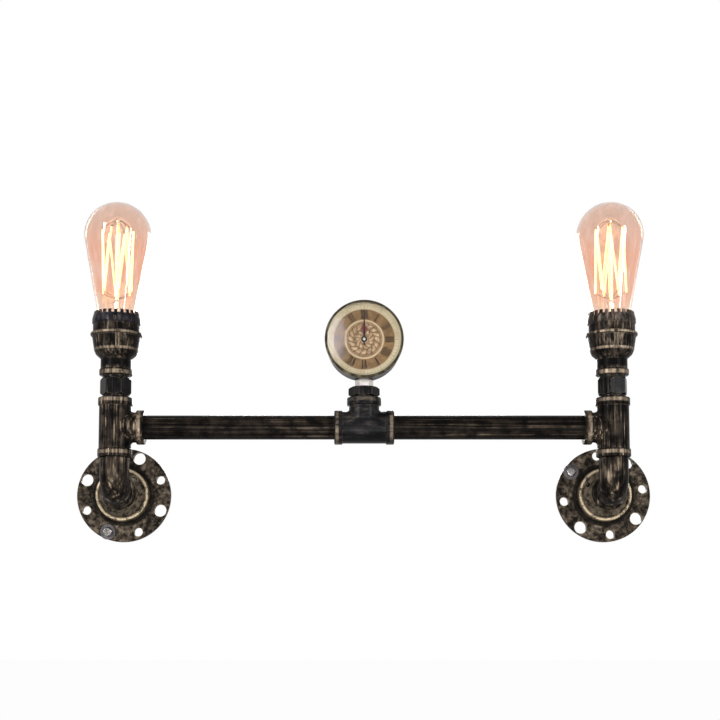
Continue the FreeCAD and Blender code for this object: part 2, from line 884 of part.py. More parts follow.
def bulb_seal():
    """Black glass disc that closes the cap's foot round the tip."""
    foot_r = cap_root_r - cap_foot_step
    return turned([
        (0, bulb_tip_level + tip_height),
        (tip_r + seal_margin, bulb_tip_level + tip_height, 0.4),
        (foot_r, cap_bottom),
        (foot_r, cap_bottom + cap_pitch / 2),
        (0, cap_bottom + cap_pitch / 2),
    ])


def bulb_tip():
    """Solder tip under the black glass."""
    return turned([
        (0, bulb_tip_level),
        (tip_r / 2, bulb_tip_level, 1.0),
        (tip_r, bulb_tip_level + tip_height),
        (0, bulb_tip_level + tip_height),
    ])


def cage_point(index):
    """Hook of the filament cage: even ones at the bottom, odd ones at the top."""
    angle = math.radians(180 * index / cage_hooks - 90 + 90 / cage_hooks)
    height = cage_top if index % 2 else cage_bottom
    return V(cage_r * math.cos(angle), cage_r * math.sin(angle), height)


def hook_wire(index, radius):
    """Rod from inside the stem to a hook: an upper one from the button, a lower one from the rod."""
    hook = cage_point(index)
    outward = V(hook.x, hook.y, 0)
    outward.normalize()
    if index % 2:
        root = outward * (stem_button_r - support_wire_sink) + UP * (stem_button_bottom + upper_hook_rise)
    else:
        root = outward * (stem_rod_r - support_wire_sink) + UP * (stem_press_top + lower_hook_rise)
    end = hook - outward * (filament_r + support_wire_r)
    return rod_between(root, end, radius)


def bulb_stem():
    """Glass mount: a flare sealed in the throat, a press, a rod and a button, with the hook wires' holes."""
    flare_r = bulb_throat_r - bulb_wall - thread_gap
    glass = turned([
        (0, bulb_throat_bottom + stem_flare_hollow),
        (flare_r - stem_flare_edge, bulb_throat_bottom),
        (flare_r, bulb_throat_bottom),
        (flare_r - stem_flare_taper, bulb_throat_bottom + stem_flare_skirt, 6.0),
        (stem_press_r, stem_press_bottom, 4.0),
        (stem_press_r, stem_press_top, 1.0),
        (stem_rod_r, stem_press_top + stem_press_shoulder, 0.6),
        (stem_rod_r, stem_button_bottom, 0.4),
        (stem_button_r, stem_button_bottom + stem_button_shoulder, 0.6),
        (stem_button_r, stem_button_top, 1.2),
        (0, stem_button_top),
    ])
    return glass.cut([hook_wire(index, support_wire_r + thread_gap) for index in range(2 * cage_hooks)])


def filament():
    """Zigzag cage of filament strands between the lower and upper hooks, open at one strand."""
    pieces = []
    for index in range(2 * cage_hooks - 1):
        start = cage_point(index)
        end = cage_point(index + 1)
        pieces.append(rod_between(start, end, filament_r))
        pieces.append(Part.makeSphere(filament_r, end))
    first = pieces[0]
    return first.fuse(pieces[1:] + [Part.makeSphere(filament_r, cage_point(0))])


def bulb_supports():
    """Hook wires from the stem's button and rod out to the filament's hooks."""
    return Part.makeCompound([hook_wire(index, support_wire_r) for index in range(2 * cage_hooks)])


# ================================================================ clock
def tee_bushing():
    """Hexagon bushing in the centre tee's branch, bored for the clock's stem."""
    body = hexagon(fitting_hex_af, bushing_hex_bottom, bushing_hex_top, bushing_chamfer)
    body = body.fuse(tube(pipe_r, 0, fitting_seat, bushing_hex_bottom)).removeSplitter()
    body = body.cut(tube(stem_thread_r + thread_gap, 0, stem_bottom, bushing_hex_top))
    return body.cut(tube(stem_thread_r - stem_shelf, 0, fitting_seat, stem_bottom))


def clock_stem():
    """Nickel hexagon stem between the bushing and the clock's case."""
    body = hexagon(stem_hex_af, bushing_hex_top, case_seat, 0.5)
    upper_end = clock_rise - case_pad_inner
    lower = tube(stem_thread_r, 0, stem_bottom, bushing_hex_top)
    upper = tube(stem_thread_r, 0, case_seat, upper_end)
    body = body.fuse([lower, upper]).removeSplitter()
    return body.cut(tube(stem_bore_r, 0, stem_bottom, upper_end))


def clock_case():
    """Round cup behind the clock, with a pad at its foot that takes the stem."""
    floor = case_back + case_wall
    body = turned([
        (0, case_back),
        (case_r, case_back, case_back_round),
        (case_r, case_front, 0.5),
        (case_inner_r, case_front),
        (case_inner_r, floor, case_back_round / 2),
        (0, floor),
    ])
    pad_foot = case_r + case_pad_proud
    pad = Part.makeCylinder(case_pad_r, pad_foot - case_pad_inner, V(0, -pad_foot, 0), V(0, 1, 0))
    body = body.fuse(pad).removeSplitter()
    drill = Part.makeCylinder(stem_thread_r + thread_gap, pad_foot - case_pad_inner + 1,
                              V(0, -pad_foot, 0), V(0, 1, 0))
    return body.cut(drill)


def insert_body():
    """Plastic carrier of the clock: a flange in the bezel and a spigot in the case."""
    flange_r = bezel_inner_r - insert_snap_gap
    window_r = movement_r - movement_ledge
    pocket_r = movement_r + movement_gap
    return turned([
        (pocket_r, insert_front),
        (flange_r, insert_front),
        (flange_r, case_front),
        (insert_spigot_r, case_front),
        (insert_spigot_r, insert_back, 1.0),
        (window_r, insert_back),
        (window_r, movement_back),
        (pocket_r, movement_back),
    ])


def insert_gasket():
    """Rubber band round the spigot, which holds the clock in its case."""
    outer_r = case_inner_r - gasket_case_gap
    top = case_front - gasket_offset
    return turned([
        (insert_spigot_r, top),
        (outer_r, top, 0.5),
        (outer_r, top - gasket_width, 0.5),
        (insert_spigot_r, top - gasket_width),
    ])


def clock_bezel():
    """Rolled bezel that holds the lens and snaps over the carrier's flange."""
    return turned([
        (bezel_inner_r, case_front),
        (bezel_r, case_front, 0.4),
        (bezel_r, bezel_front - 2 * bezel_lip, 1.4),
        (bezel_inner_r, bezel_front, 0.7),
        (bezel_window_r, bezel_front - bezel_lip / 2),
        (bezel_window_r, bezel_lip_back),
        (bezel_inner_r, bezel_lip_back),
    ])


def clock_lens():
    """Flat glass disc behind the bezel's lip."""
    lens_r = bezel_inner_r - lens_gap
    return turned([
        (0, bezel_lip_back - lens_thickness),
        (lens_r, bezel_lip_back - lens_thickness, 0.2),
        (lens_r, bezel_lip_back),
        (0, bezel_lip_back),
    ])


def clock_dial():
    """Dial plate on the carrier's front, with a low raised ring round its middle."""
    dial_r = bezel_inner_r - dial_gap
    ring_inner = dial_ring_r - dial_ring_width
    ring_top = dial_front + dial_ring_height
    return turned([
        (dial_hole_r, insert_front),
        (dial_r, insert_front),
        (dial_r, dial_front),
        (dial_ring_r, dial_front),
        (dial_ring_r, ring_top, 0.15),
        (ring_inner, ring_top, 0.15),
        (ring_inner, dial_front),
        (dial_hole_r, dial_front),
    ])


def clock_movement():
    """Closed quartz movement with its centre bore, cell pocket and knob bore."""
    body = tube(movement_r, 0, movement_back, insert_front)
    body = body.cut(tube(hour_tube_r + running_gap, 0, hour_tube_foot - running_gap, insert_front))
    body = body.cut(tube(arbor_r + running_gap, 0, arbor_foot - running_gap, insert_front))
    pocket = moved(tube(cell_r + cell_gap, 0, movement_back, movement_back + cell_height), cell_x, cell_z, 0)
    bore_top = movement_back + spindle_length + running_gap
    bore = moved(tube(spindle_r + running_gap, 0, movement_back, bore_top), knob_x, knob_z, 0)
    return body.cut(pocket).cut(bore)


def button_cell():
    """Button cell in the movement's pocket, its narrower terminal inwards."""
    top = movement_back + cell_height
    cell = turned([
        (0, movement_back),
        (cell_r, movement_back, 0.5),
        (cell_r, top - cell_terminal_step, 0.4),
        (cell_r - cell_terminal_step, top - cell_terminal_step),
        (cell_r - cell_terminal_step, top),
        (0, top),
    ])
    return moved(cell, cell_x, cell_z, 0)


def setting_knob():
    """Ribbed knob behind the movement; its spindle turns in the movement's bore."""
    back = movement_back - knob_gap - knob_thickness
    body = tube(knob_r, 0, back, back + knob_thickness)
    ridge = moved(tube(knob_ridge_r, 0, back, back + knob_thickness), knob_r, 0, 0)
    ridges = [spun(ridge, index * 360 / knob_ridges) for index in range(knob_ridges)]
    spindle = tube(spindle_r, 0, back + knob_thickness, movement_back + spindle_length)
    return moved(body.fuse(ridges + [spindle]), knob_x, knob_z, 0)


def minute_arbor():
    """Shaft of the minute hand, running in the hour hand's tube."""
    return tube(arbor_r, 0, arbor_foot, minute_front + hand_nut_height - hand_nut_cap)


def hand_blade(points, back):
    """Flat hand cut from sheet; it is drawn to one side of its middle line, pointing up."""
    right = [V(x, y, back) for x, y in points]
    left = [V(-x, y, back) for x, y in reversed(points) if x > 0]
    ring = right + left
    return Part.Face(Part.makePolygon(ring + [ring[0]])).extrude(V(0, 0, hand_thickness))


def hour_hand():
    """Hour hand with a pointed spade, on its tube."""
    blade = hand_blade([
        (hour_hand_half, 0),
        (hour_hand_half, hour_spade_start),
        (hour_spade_half, hour_hand_length - hour_spade_point),
        (0, hour_hand_length),
    ], hour_back)
    disc = tube(hand_hub_r, 0, hour_back, hour_front)
    collet = tube(hour_tube_r, 0, hour_tube_foot, hour_back)
    body = blade.fuse([disc, collet]).removeSplitter()
    return body.cut(tube(hour_tube_bore_r, 0, hour_tube_foot, hour_front))


def minute_hand():
    """Slim minute hand with a short tail, pressed on its arbor."""
    blade = hand_blade([
        (minute_hand_half, -minute_hand_tail),
        (minute_hand_half, hand_hub_r),
        (minute_hand_tip_half, minute_hand_length - minute_hand_point),
        (0, minute_hand_length),
    ], minute_back)
    disc = tube(hand_hub_r, 0, minute_back, minute_front)
    return blade.fuse(disc).removeSplitter().cut(tube(arbor_r, 0, minute_back, minute_front))


def hand_nut():
    """Domed nut that holds the minute hand on its arbor."""
    nut_r = arbor_r + hand_nut_wall
    top = minute_front + hand_nut_height
    return turned([
        (arbor_r, minute_front),
        (nut_r, minute_front),
        (nut_r, top, 0.4),
        (0, top),
        (0, top - hand_nut_cap),
        (arbor_r, top - hand_nut_cap),
    ])


# ================================================================ wiring
def port_depth(port):
    """Distance of a connector port's axis from the wall; port 0 is next to the wall."""
    return connector_first_port + port * connector_port_pitch


def wire_connector(sign):
    """Push-in connector against the wiring space's roof, its three ports towards the pipe."""
    x = -arm_x + sign * lead_spread
    port_r = lead_r + connector_port_play
    body = Part.makeBox(connector_width, wiring_space_depth - connector_proud, connector_height,
                        V(x - connector_width / 2, -wiring_space_depth, -connector_drop - connector_height))
    for port in range(3):
        mouth = V(x, -port_depth(port), -connector_drop)
        body = body.cut(Part.makeCylinder(port_r, connector_port_depth, mouth, -UP))
    return body


def lamp_leads(start_x, through_pipe, layer, port):
    """Pair of leads from a holder's floor to one port of each connector.
    layer is how far behind the pipes' middle plane the pair runs."""
    top = run_height + cup_web_top + holder_tube_above - lead_tail
    fan_top = run_height + cup_web_bottom - lead_below_tube
    fan_foot = fan_top - lead_shift
    lane_y = arm_y + layer
    drop_y = -port_depth(port)
    pair = []
    for side in (-1, 1):
        start = start_x + side * lead_pair
        finish = -arm_x + side * lead_spread
        points = [V(start, arm_y, top), V(start, arm_y, fan_top)]
        if through_pipe:
            level = run_height - side * lead_pair
            points += [V(start, lane_y, fan_foot), V(start, lane_y, level), V(finish, lane_y, level)]
        else:
            points += [V(finish, lane_y, fan_foot)]
        points += [V(finish, lane_y, layer), V(finish, drop_y, layer),
                   V(finish, drop_y, -connector_drop - lead_stub)]
        bends = [lead_bend] * (len(points) - 4) + [elbow_bend_r - layer, lead_drop_bend]
        pair.append(swept_lead(points, lead_r, bends))
    return Part.makeCompound(pair)


# ================================================================ the parts
os.makedirs("parts", exist_ok=True)

tee_shape = tee()
elbow_shape = street_elbow()
large_angles = {"left": left_large_hole_angle, "right": right_large_hole_angle}
screw_holes = {"left": left_screw_hole, "right": right_screw_hole}
set_angles = {"left": left_set_screw_angle, "right": right_set_screw_angle}
nipple_turns = {"left": left_nipple_turn, "right": right_nipple_turn}
rib_angles = {"left": left_cup_rib_angle, "right": right_cup_rib_angle}

screws = []
washers = []
set_screws = []
tubes = []
for side, sign in sides.items():
    flange = wall_flange(large_angles[side], set_angles[side])
    save(side + "_wall_flange", on_flange(flange, sign))
    screw_at = hole_position(large_angles[side] + screw_holes[side] * 360 / hole_count)
    screws.append(on_flange(moved(wall_screw(), screw_at.x, screw_at.y, 0), sign))
    washers.append(on_flange(moved(washer(), screw_at.x, screw_at.y, 0), sign))
    set_screws.append(on_flange(set_screw_frame(set_screw(), set_angles[side]), sign))
    save(side + "_flange_nipple", on_flange(flange_nipple(), sign))
    save(side + "_elbow", moved(elbow_shape, sign * arm_x, arm_y, 0))
    save(side + "_side_tee", on_arm(spun(tee_shape, 0 if sign < 0 else 180), sign))
    save(side + "_hex_nipple", on_arm(hex_nipple(nipple_turns[side]), sign))
    save(side + "_holder_cup", on_arm(holder_cup(rib_angles[side]), sign))
    save(side + "_crown_ring", on_arm(crown_ring(rib_angles[side]), sign))
    tubes.append(on_arm(holder_tube(), sign))
    save(side + "_lamp_insulator", on_arm(lamp_insulator(), sign))
    save(side + "_screw_shell", on_arm(screw_shell(), sign))
    save(side + "_centre_contact", on_arm(centre_contact(), sign))
    save(side + "_bulb_glass", on_arm(bulb_glass(), sign))
    save(side + "_bulb_cap", on_arm(bulb_cap(), sign))
    save(side + "_bulb_seal", on_arm(bulb_seal(), sign))
    save(side + "_bulb_tip", on_arm(bulb_tip(), sign))
    save(side + "_bulb_stem", on_arm(bulb_stem(), sign))
    save(side + "_bulb_supports", on_arm(bulb_supports(), sign))
    save(side + "_filament", on_arm(filament(), sign))

save("flange_screws", Part.makeCompound(screws))
save("flange_washers", Part.makeCompound(washers))
save("hub_set_screws", Part.makeCompound(set_screws))
save("holder_tubes", Part.makeCompound(tubes))

left_pipe = moved(long_pipe(), 0, arm_y, run_height)
right_pipe = left_pipe.mirror(V(0, 0, 0), V(1, 0, 0))
save("left_pipe", left_pipe)
save("right_pipe", right_pipe)
upright_tee = tee_shape.copy()
upright_tee.rotate(V(0, 0, 0), V(0, 1, 0), -90)
save("centre_tee", moved(upright_tee, 0, arm_y, run_height))
save("tee_bushing", moved(tee_bushing(), 0, arm_y, run_height))
save("clock_stem", moved(clock_stem(), 0, arm_y, run_height))
save("clock_case", on_clock(clock_case()))
save("insert_body", on_clock(insert_body()))
save("insert_gasket", on_clock(insert_gasket()))
save("clock_bezel", on_clock(clock_bezel()))
save("clock_lens", on_clock(clock_lens()))
save("clock_dial", on_clock(clock_dial()))
save("clock_movement", on_clock(clock_movement()))
save("button_cell", on_clock(button_cell()))
save("setting_knob", on_clock(setting_knob()))
save("minute_arbor", on_clock(minute_arbor()))
save("minute_hand", on_clock(minute_hand()))
save("hand_nut", on_clock(hand_nut()))
save("hour_hand", on_clock(hour_hand()))

save("wire_connectors", Part.makeCompound([wire_connector(-1), wire_connector(1)]))
save("left_lamp_leads", lamp_leads(-arm_x, False, -lead_layer, 2))
save("right_lamp_leads", lamp_leads(arm_x, True, lead_layer, 1))
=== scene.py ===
import math

import bmesh
import bpy
import numpy as np
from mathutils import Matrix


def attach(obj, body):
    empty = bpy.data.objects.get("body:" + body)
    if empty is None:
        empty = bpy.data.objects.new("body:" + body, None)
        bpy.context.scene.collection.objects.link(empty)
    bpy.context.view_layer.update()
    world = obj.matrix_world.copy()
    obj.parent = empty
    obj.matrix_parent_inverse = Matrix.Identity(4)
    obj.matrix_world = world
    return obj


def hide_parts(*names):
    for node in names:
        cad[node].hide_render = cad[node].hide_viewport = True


# An industrial wall light of iron pipe: two wall flanges, elbows and tees, two upright lamp holders
# with filament bulbs, and a small round clock in the middle. Metres; the wall is the plane y = 0.
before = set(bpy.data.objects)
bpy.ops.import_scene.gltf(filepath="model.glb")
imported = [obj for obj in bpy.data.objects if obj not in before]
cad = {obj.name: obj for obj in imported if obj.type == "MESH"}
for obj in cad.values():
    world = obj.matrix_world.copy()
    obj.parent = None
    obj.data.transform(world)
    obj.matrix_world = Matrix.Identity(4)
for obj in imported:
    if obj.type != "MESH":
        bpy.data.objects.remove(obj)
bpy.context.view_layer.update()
sides = ("left", "right")

# ---------------------------------------------------------------- camera
# The photograph was taken from a little below the flanges, 1.2 m in front of the arms, with the camera
# tipped slightly up. The horizon is the pixel where lines that run into the wall meet.
picture_px = 720.0
focal_px = 1322.0
horizon_x_px = 349.5
horizon_y_px = 601.3
camera_pitch = math.radians(5.0)
camera_sensor_mm = 36.0
camera_place = (-0.0129, -1.214, -0.0969)

camera_data = bpy.data.cameras.new("camera")
camera_data.sensor_width = camera_sensor_mm
camera_data.lens = camera_sensor_mm * focal_px / picture_px
camera_data.shift_x = 0.5 - horizon_x_px / picture_px
camera_data.shift_y = (horizon_y_px - focal_px * math.tan(camera_pitch)) / picture_px - 0.5
camera = bpy.data.objects.new("camera", camera_data)
camera.location = camera_place
camera.rotation_euler = (math.pi / 2 + camera_pitch, 0.0, 0.0)
bpy.context.collection.objects.link(camera)
bpy.context.scene.camera = camera
bpy.context.scene.view_settings.view_transform = "Standard"


# ---------------------------------------------------------------- studio
# A white room: a pale floor well under the light, even light from all round, an upright lamp box on the
# left, a weaker one on the right, a long one low in front, a weak one in front and one behind. A small
# cool window behind the camera shows in the clock's flat glass.
floor_level = -0.5
floor_half = 8.0
floor_glow = 0.975
paper_white = (0.9, 0.9, 0.9)
sky_fill = (0.95, 0.97, 1.0)
sky_fill_strength = 0.32
window_place = (-0.062, -1.5, 0.42)
window_size = 0.075
window_blue = (0.88, 0.88, 1.0)
lamp_target = (0, -0.05, 0.1)


def new_material(name):
    """Empty node material with its output node."""
    material = bpy.data.materials.new(name)
    material.use_nodes = True
    material.node_tree.nodes.clear()
    output = material.node_tree.nodes.new("ShaderNodeOutputMaterial")
    return material, material.node_tree, output


def node(tree, kind, **settings):
    """Adds a node; settings are its properties."""
    made = tree.nodes.new(kind)
    for key, value in settings.items():
        setattr(made, key, value)
    return made


def feed(tree, value, socket):
    """Links a socket, or sets a number or colour, on an input."""
    if isinstance(value, bpy.types.NodeSocket):
        tree.links.new(value, socket)
    elif isinstance(value, tuple) and len(value) == 3 and socket.type == "RGBA":
        socket.default_value = (*value, 1)
    elif value is not None:
        socket.default_value = value


def maths(tree, operation, first, second=None, clamp=False):
    """One math step on two values, which may be numbers or sockets."""
    step = node(tree, "ShaderNodeMath", operation=operation, use_clamp=clamp)
    feed(tree, first, step.inputs[0])
    feed(tree, second, step.inputs[1])
    return step.outputs[0]


def seen_directly(tree):
    """1 where a ray comes from the camera, a mirror or a glass, else 0."""
    path = node(tree, "ShaderNodeLightPath")
    either = maths(tree, "MAXIMUM", path.outputs["Is Camera Ray"], path.outputs["Is Glossy Ray"])
    return maths(tree, "MAXIMUM", either, path.outputs["Is Transmission Ray"])


def blend_shaders(tree, share, first, second):
    """Mix of two shaders."""
    made = node(tree, "ShaderNodeMixShader")
    feed(tree, share, made.inputs["Fac"])
    tree.links.new(first.outputs[0], made.inputs[1])
    tree.links.new(second.outputs[0], made.inputs[2])
    return made.outputs[0]


floor_mesh = bpy.data.meshes.new("floor")
floor_mesh.from_pydata([(-floor_half, -floor_half, floor_level), (floor_half, -floor_half, floor_level),
                        (floor_half, floor_half, floor_level), (-floor_half, floor_half, floor_level)],
                       [], [(0, 1, 2, 3)])
floor = bpy.data.objects.new("floor", floor_mesh)
bpy.context.collection.objects.link(floor)
floor_material, tree, output = new_material("floor paper")
paper = node(tree, "ShaderNodeBsdfDiffuse")
feed(tree, paper_white, paper.inputs["Color"])
glow = node(tree, "ShaderNodeEmission")
tree.links.new(blend_shaders(tree, maths(tree, "MULTIPLY", seen_directly(tree), floor_glow), paper, glow),
               output.inputs["Surface"])
floor_mesh.materials.append(floor_material)

world = bpy.data.worlds.new("studio")
bpy.context.scene.world = world
world.use_nodes = True
tree = world.node_tree
tree.nodes.clear()
fill = node(tree, "ShaderNodeBackground")
feed(tree, sky_fill, fill.inputs["Color"])
fill.inputs["Strength"].default_value = sky_fill_strength
white = node(tree, "ShaderNodeBackground")
white.inputs["Color"].default_value = (1, 1, 1, 1)
tree.links.new(blend_shaders(tree, seen_directly(tree), fill, white),
               node(tree, "ShaderNodeOutputWorld").inputs["Surface"])


def soft_lamp(name, place, target, width, height, watts, colour=(1.0, 1.0, 1.0)):
    """Rectangular area lamp at a place, turned to a target."""
    data = bpy.data.lights.new(name, "AREA")
    data.shape = "RECTANGLE"
    data.size = width
    data.size_y = height
    data.energy = watts
    data.color = colour
    lamp = bpy.data.objects.new(name, data)
    lamp.location = place
    aim = np.subtract(target, place)
    tilt = math.acos(-aim[2] / np.linalg.norm(aim))
    lamp.rotation_euler = (tilt, 0, math.atan2(aim[1], aim[0]) - math.pi / 2)
    bpy.context.collection.objects.link(lamp)


soft_lamp("key_lamp", (-1.0, -1.05, 0.5), lamp_target, 0.16, 0.75, 12.5)
soft_lamp("fill_lamp", (1.05, -1.0, 0.3), lamp_target, 0.16, 0.75, 8.5)
soft_lamp("low_lamp", (0.0, -0.9, -0.36), lamp_target, 0.9, 0.12, 3.5)
soft_lamp("front_lamp", (0.0, -1.35, -0.08), lamp_target, 0.5, 0.35, 3.5)
soft_lamp("back_lamp", (0.0, 1.4, 0.45), lamp_target, 0.6, 0.4, 9)
soft_lamp("window_lamp", window_place, (window_place[0], 0, window_place[2]), window_size, window_size, 0.42,
          window_blue)

# ---------------------------------------------------------------- cast iron fittings
# Flanges, elbows, tees, hexagon nipples, cups and rings are cast or turned iron, blackened and then rubbed
# back, so that edges, beads and long streaks show a dull brass colour. Faces turned to the room keep that
# brass and brown; the sides turned away are painted darker, a painted shade.
iron_black = (0.0026, 0.0022, 0.0020)
iron_brown = (0.050, 0.037, 0.027)
iron_rubbed = (0.36, 0.28, 0.20)
paint_gloss = 0.02
edge_radius = 0.0011
edge_seen = 0.015
edge_full = 0.14
cast_blotch_scale = 95.0
cast_grain_scale = 900.0


def noise(tree, vector, scale, detail, rough=0.55):
    """Value noise of a vector, about 0.2 to 0.8."""
    made = node(tree, "ShaderNodeTexNoise")
    tree.links.new(vector, made.inputs["Vector"])
    feed(tree, scale, made.inputs["Scale"])
    made.inputs["Detail"].default_value = detail
    made.inputs["Roughness"].default_value = rough
    return made.outputs["Fac"]


def ramp(tree, value, low, high, first=0.0, second=1.0):
    """Smooth step of a value from first at low to second at high."""
    made = node(tree, "ShaderNodeMapRange", interpolation_type="SMOOTHSTEP")
    tree.links.new(value, made.inputs["Value"])
    for key, number in (("From Min", low), ("From Max", high), ("To Min", first), ("To Max", second)):
        feed(tree, number, made.inputs[key])
    return made.outputs["Result"]


def mix(tree, share, first, second):
    """Mix of two colours."""
    made = node(tree, "ShaderNodeMix", data_type="RGBA")
    feed(tree, share, made.inputs[0])
    feed(tree, first, made.inputs[6])
    feed(tree, second, made.inputs[7])
    return made.outputs[2]


def coordinate(tree, place, letter):
    """One coordinate of a place."""
    parts = node(tree, "ShaderNodeSeparateXYZ")
    tree.links.new(place, parts.inputs[0])
    return parts.outputs[letter]


def object_place(tree):
    """A point's place in the frame, which every piece's own axes match."""
    return node(tree, "ShaderNodeTexCoord").outputs["Object"]


def stretched(tree, place, scale):
    """A place scaled along the three axes."""
    made = node(tree, "ShaderNodeMapping")
    made.inputs["Scale"].default_value = scale
    tree.links.new(place, made.inputs["Vector"])
    return made.outputs[0]


def bumped(tree, height, strength, distance):
    """Normal of a relief."""
    made = node(tree, "ShaderNodeBump")
    made.inputs["Strength"].default_value = strength
    made.inputs["Distance"].default_value = distance
    tree.links.new(height, made.inputs["Height"])
    return made.outputs[0]


def new_group(name, given, made):
    """Node group with named inputs and outputs."""
    group = bpy.data.node_groups.new(name, "ShaderNodeTree")
    for direction, sockets in (("INPUT", given), ("OUTPUT", made)):
        for word, kind in sockets:
            group.interface.new_socket(name=word, in_out=direction, socket_type="NodeSocket" + kind)
    return group, node(group, "NodeGroupInput").outputs, node(group, "NodeGroupOutput").inputs


def aged_finish():
    """Group for a rubbed dark metal: edges found by rounding the normal, long streaks from noise on a
    stretched vector, blotches and a fine cast grain. Faces turned away from the room are painted darker, a
    painted shade that takes away most of their brown and brass."""
    group, given, made = new_group(
        "aged finish",
        (("Place", "Vector"), ("Streak place", "Vector"), ("Black", "Color"), ("Brown", "Color"),
         ("Rubbed", "Color"), ("Edge wear", "Float"), ("Streak wear", "Float"), ("Rub here", "Float"),
         ("Dark here", "Float"), ("Unshaded side share", "Float"), ("Rough", "Float")),
        (("Color", "Color"), ("Roughness", "Float"), ("Metallic", "Float"), ("Height", "Float")))
    blotch = noise(group, given["Place"], cast_blotch_scale, 4.0)
    grain = noise(group, given["Place"], cast_grain_scale, 3.0, 0.7)
    streak = noise(group, given["Streak place"], 1.0, 3.0, 0.6)
    rounded = node(group, "ShaderNodeBevel", samples=6)
    rounded.inputs["Radius"].default_value = edge_radius
    turned_away = node(group, "ShaderNodeVectorMath", operation="DOT_PRODUCT")
    group.links.new(rounded.outputs[0], turned_away.inputs[0])
    group.links.new(node(group, "ShaderNodeNewGeometry").outputs["Normal"], turned_away.inputs[1])
    edge = ramp(group, maths(group, "SUBTRACT", 1.0, turned_away.outputs["Value"]), edge_seen, edge_full)
    to_room = coordinate(group, node(group, "ShaderNodeNewGeometry").outputs["Normal"], "Y")
    # Painted shade: a face turned away from the room keeps only a small share of its brown and brass, so
    # round parts go black at their sides.
    front = ramp(group, to_room, -0.92, -0.25, 1.0, 0.12)
    broken = ramp(group, maths(group, "ADD", streak, maths(group, "MULTIPLY", grain, 0.35)), 0.5, 0.78)
    edge = maths(group, "MULTIPLY", edge, maths(group, "ADD", 0.15, broken))
    edge = maths(group, "MULTIPLY", edge, given["Edge wear"])
    lines = maths(group, "MULTIPLY", ramp(group, streak, 0.53, 0.74), given["Streak wear"])
    lines = maths(group, "MULTIPLY", lines, ramp(group, blotch, 0.36, 0.62))
    here = maths(group, "MULTIPLY", given["Rub here"], maths(group, "ADD", 0.12, broken), clamp=True)
    rubbed = maths(group, "MAXIMUM", maths(group, "MAXIMUM", edge, lines), here, clamp=True)
    clear = maths(group, "SUBTRACT", 1.0, given["Dark here"], clamp=True)
    # The painted side shade is applied here, to the brass and the brown alike.
    clear = maths(group, "MULTIPLY", clear, maths(group, "MAXIMUM", front, given["Unshaded side share"]))
    rubbed = maths(group, "MULTIPLY", rubbed, clear)
    brown = maths(group, "ADD", maths(group, "MULTIPLY", blotch, 0.5), maths(group, "MULTIPLY", streak, 0.6))
    brown = maths(group, "MULTIPLY", ramp(group, brown, 0.46, 0.72), clear)
    ground = mix(group, brown, given["Black"], given["Brown"])
    group.links.new(mix(group, rubbed, ground, given["Rubbed"]), made["Color"])
    rough = maths(group, "ADD", given["Rough"], maths(group, "MULTIPLY", rubbed, 0.06))
    rough = maths(group, "ADD", rough, maths(group, "MULTIPLY", maths(group, "SUBTRACT", grain, 0.5), 0.2))
    group.links.new(rough, made["Roughness"])
    group.links.new(maths(group, "MULTIPLY", rubbed, 0.35), made["Metallic"])
    height = maths(group, "ADD", grain, maths(group, "MULTIPLY", blotch, 0.7))
    group.links.new(maths(group, "ADD", height, maths(group, "MULTIPLY", streak, 0.4)), made["Height"])
    return group


aged_group = aged_finish()


def aged_metal(name, streak_scale, edge_wear, streak_wear, black=iron_black, brown=iron_brown,
               rubbed=iron_rubbed, rub_here=None, dark_here=None, streak_here=None, gloss=paint_gloss,
               unshaded_side_share=0.3, rough=0.32, bump=0.00012):
    """Rubbed dark metal whose streaks run along the axis with the small streak_scale.
    rub_here, dark_here and streak_here are functions of the tree and the place that give a mask.
    unshaded_side_share is the least share of wear and brown kept on the sides that don't face the room; the
    rest of it there is painted shade."""
    material, tree, output = new_material(name)
    place = object_place(tree)
    finish = node(tree, "ShaderNodeGroup", node_tree=aged_group)
    for key, value in (("Place", place), ("Streak place", stretched(tree, place, streak_scale)),
                       ("Black", black), ("Brown", brown), ("Rubbed", rubbed), ("Edge wear", edge_wear),
                       ("Streak wear", streak_here(tree, place) if streak_here else streak_wear),
                       ("Rub here", rub_here and rub_here(tree, place)),
                       ("Dark here", dark_here and dark_here(tree, place)), ("Unshaded side share", unshaded_side_share),
                       ("Rough", rough)):
        feed(tree, value, finish.inputs[key])
    shader = node(tree, "ShaderNodeBsdfPrincipled")
    shader.inputs["Specular IOR Level"].default_value = gloss
    tree.links.new(bumped(tree, finish.outputs["Height"], 0.8, bump), shader.inputs["Normal"])
    for key, target in (("Color", "Base Color"), ("Roughness", "Roughness"), ("Metallic", "Metallic")):
        tree.links.new(finish.outputs[key], shader.inputs[target])
    tree.links.new(shader.outputs[0], output.inputs["Surface"])
    return material


def bands(tree, value, places):
    """Mask that is 1 at each (centre, half width) of a value and falls smoothly to 0."""
    mask = 0.0
    for centre, half in places:
        away = maths(tree, "ABSOLUTE", maths(tree, "SUBTRACT", value, centre))
        mask = maths(tree, "MAXIMUM", mask, ramp(tree, away, 0.4 * half, half, 1.0, 0.0))
    return mask


def height_of(tree, place):
    """The upright coordinate of a place."""
    return coordinate(tree, place, "Z")


def side_of(tree, place):
    """The sideways distance of a place from the middle of the light."""
    return maths(tree, "ABSOLUTE", coordinate(tree, place, "X"))


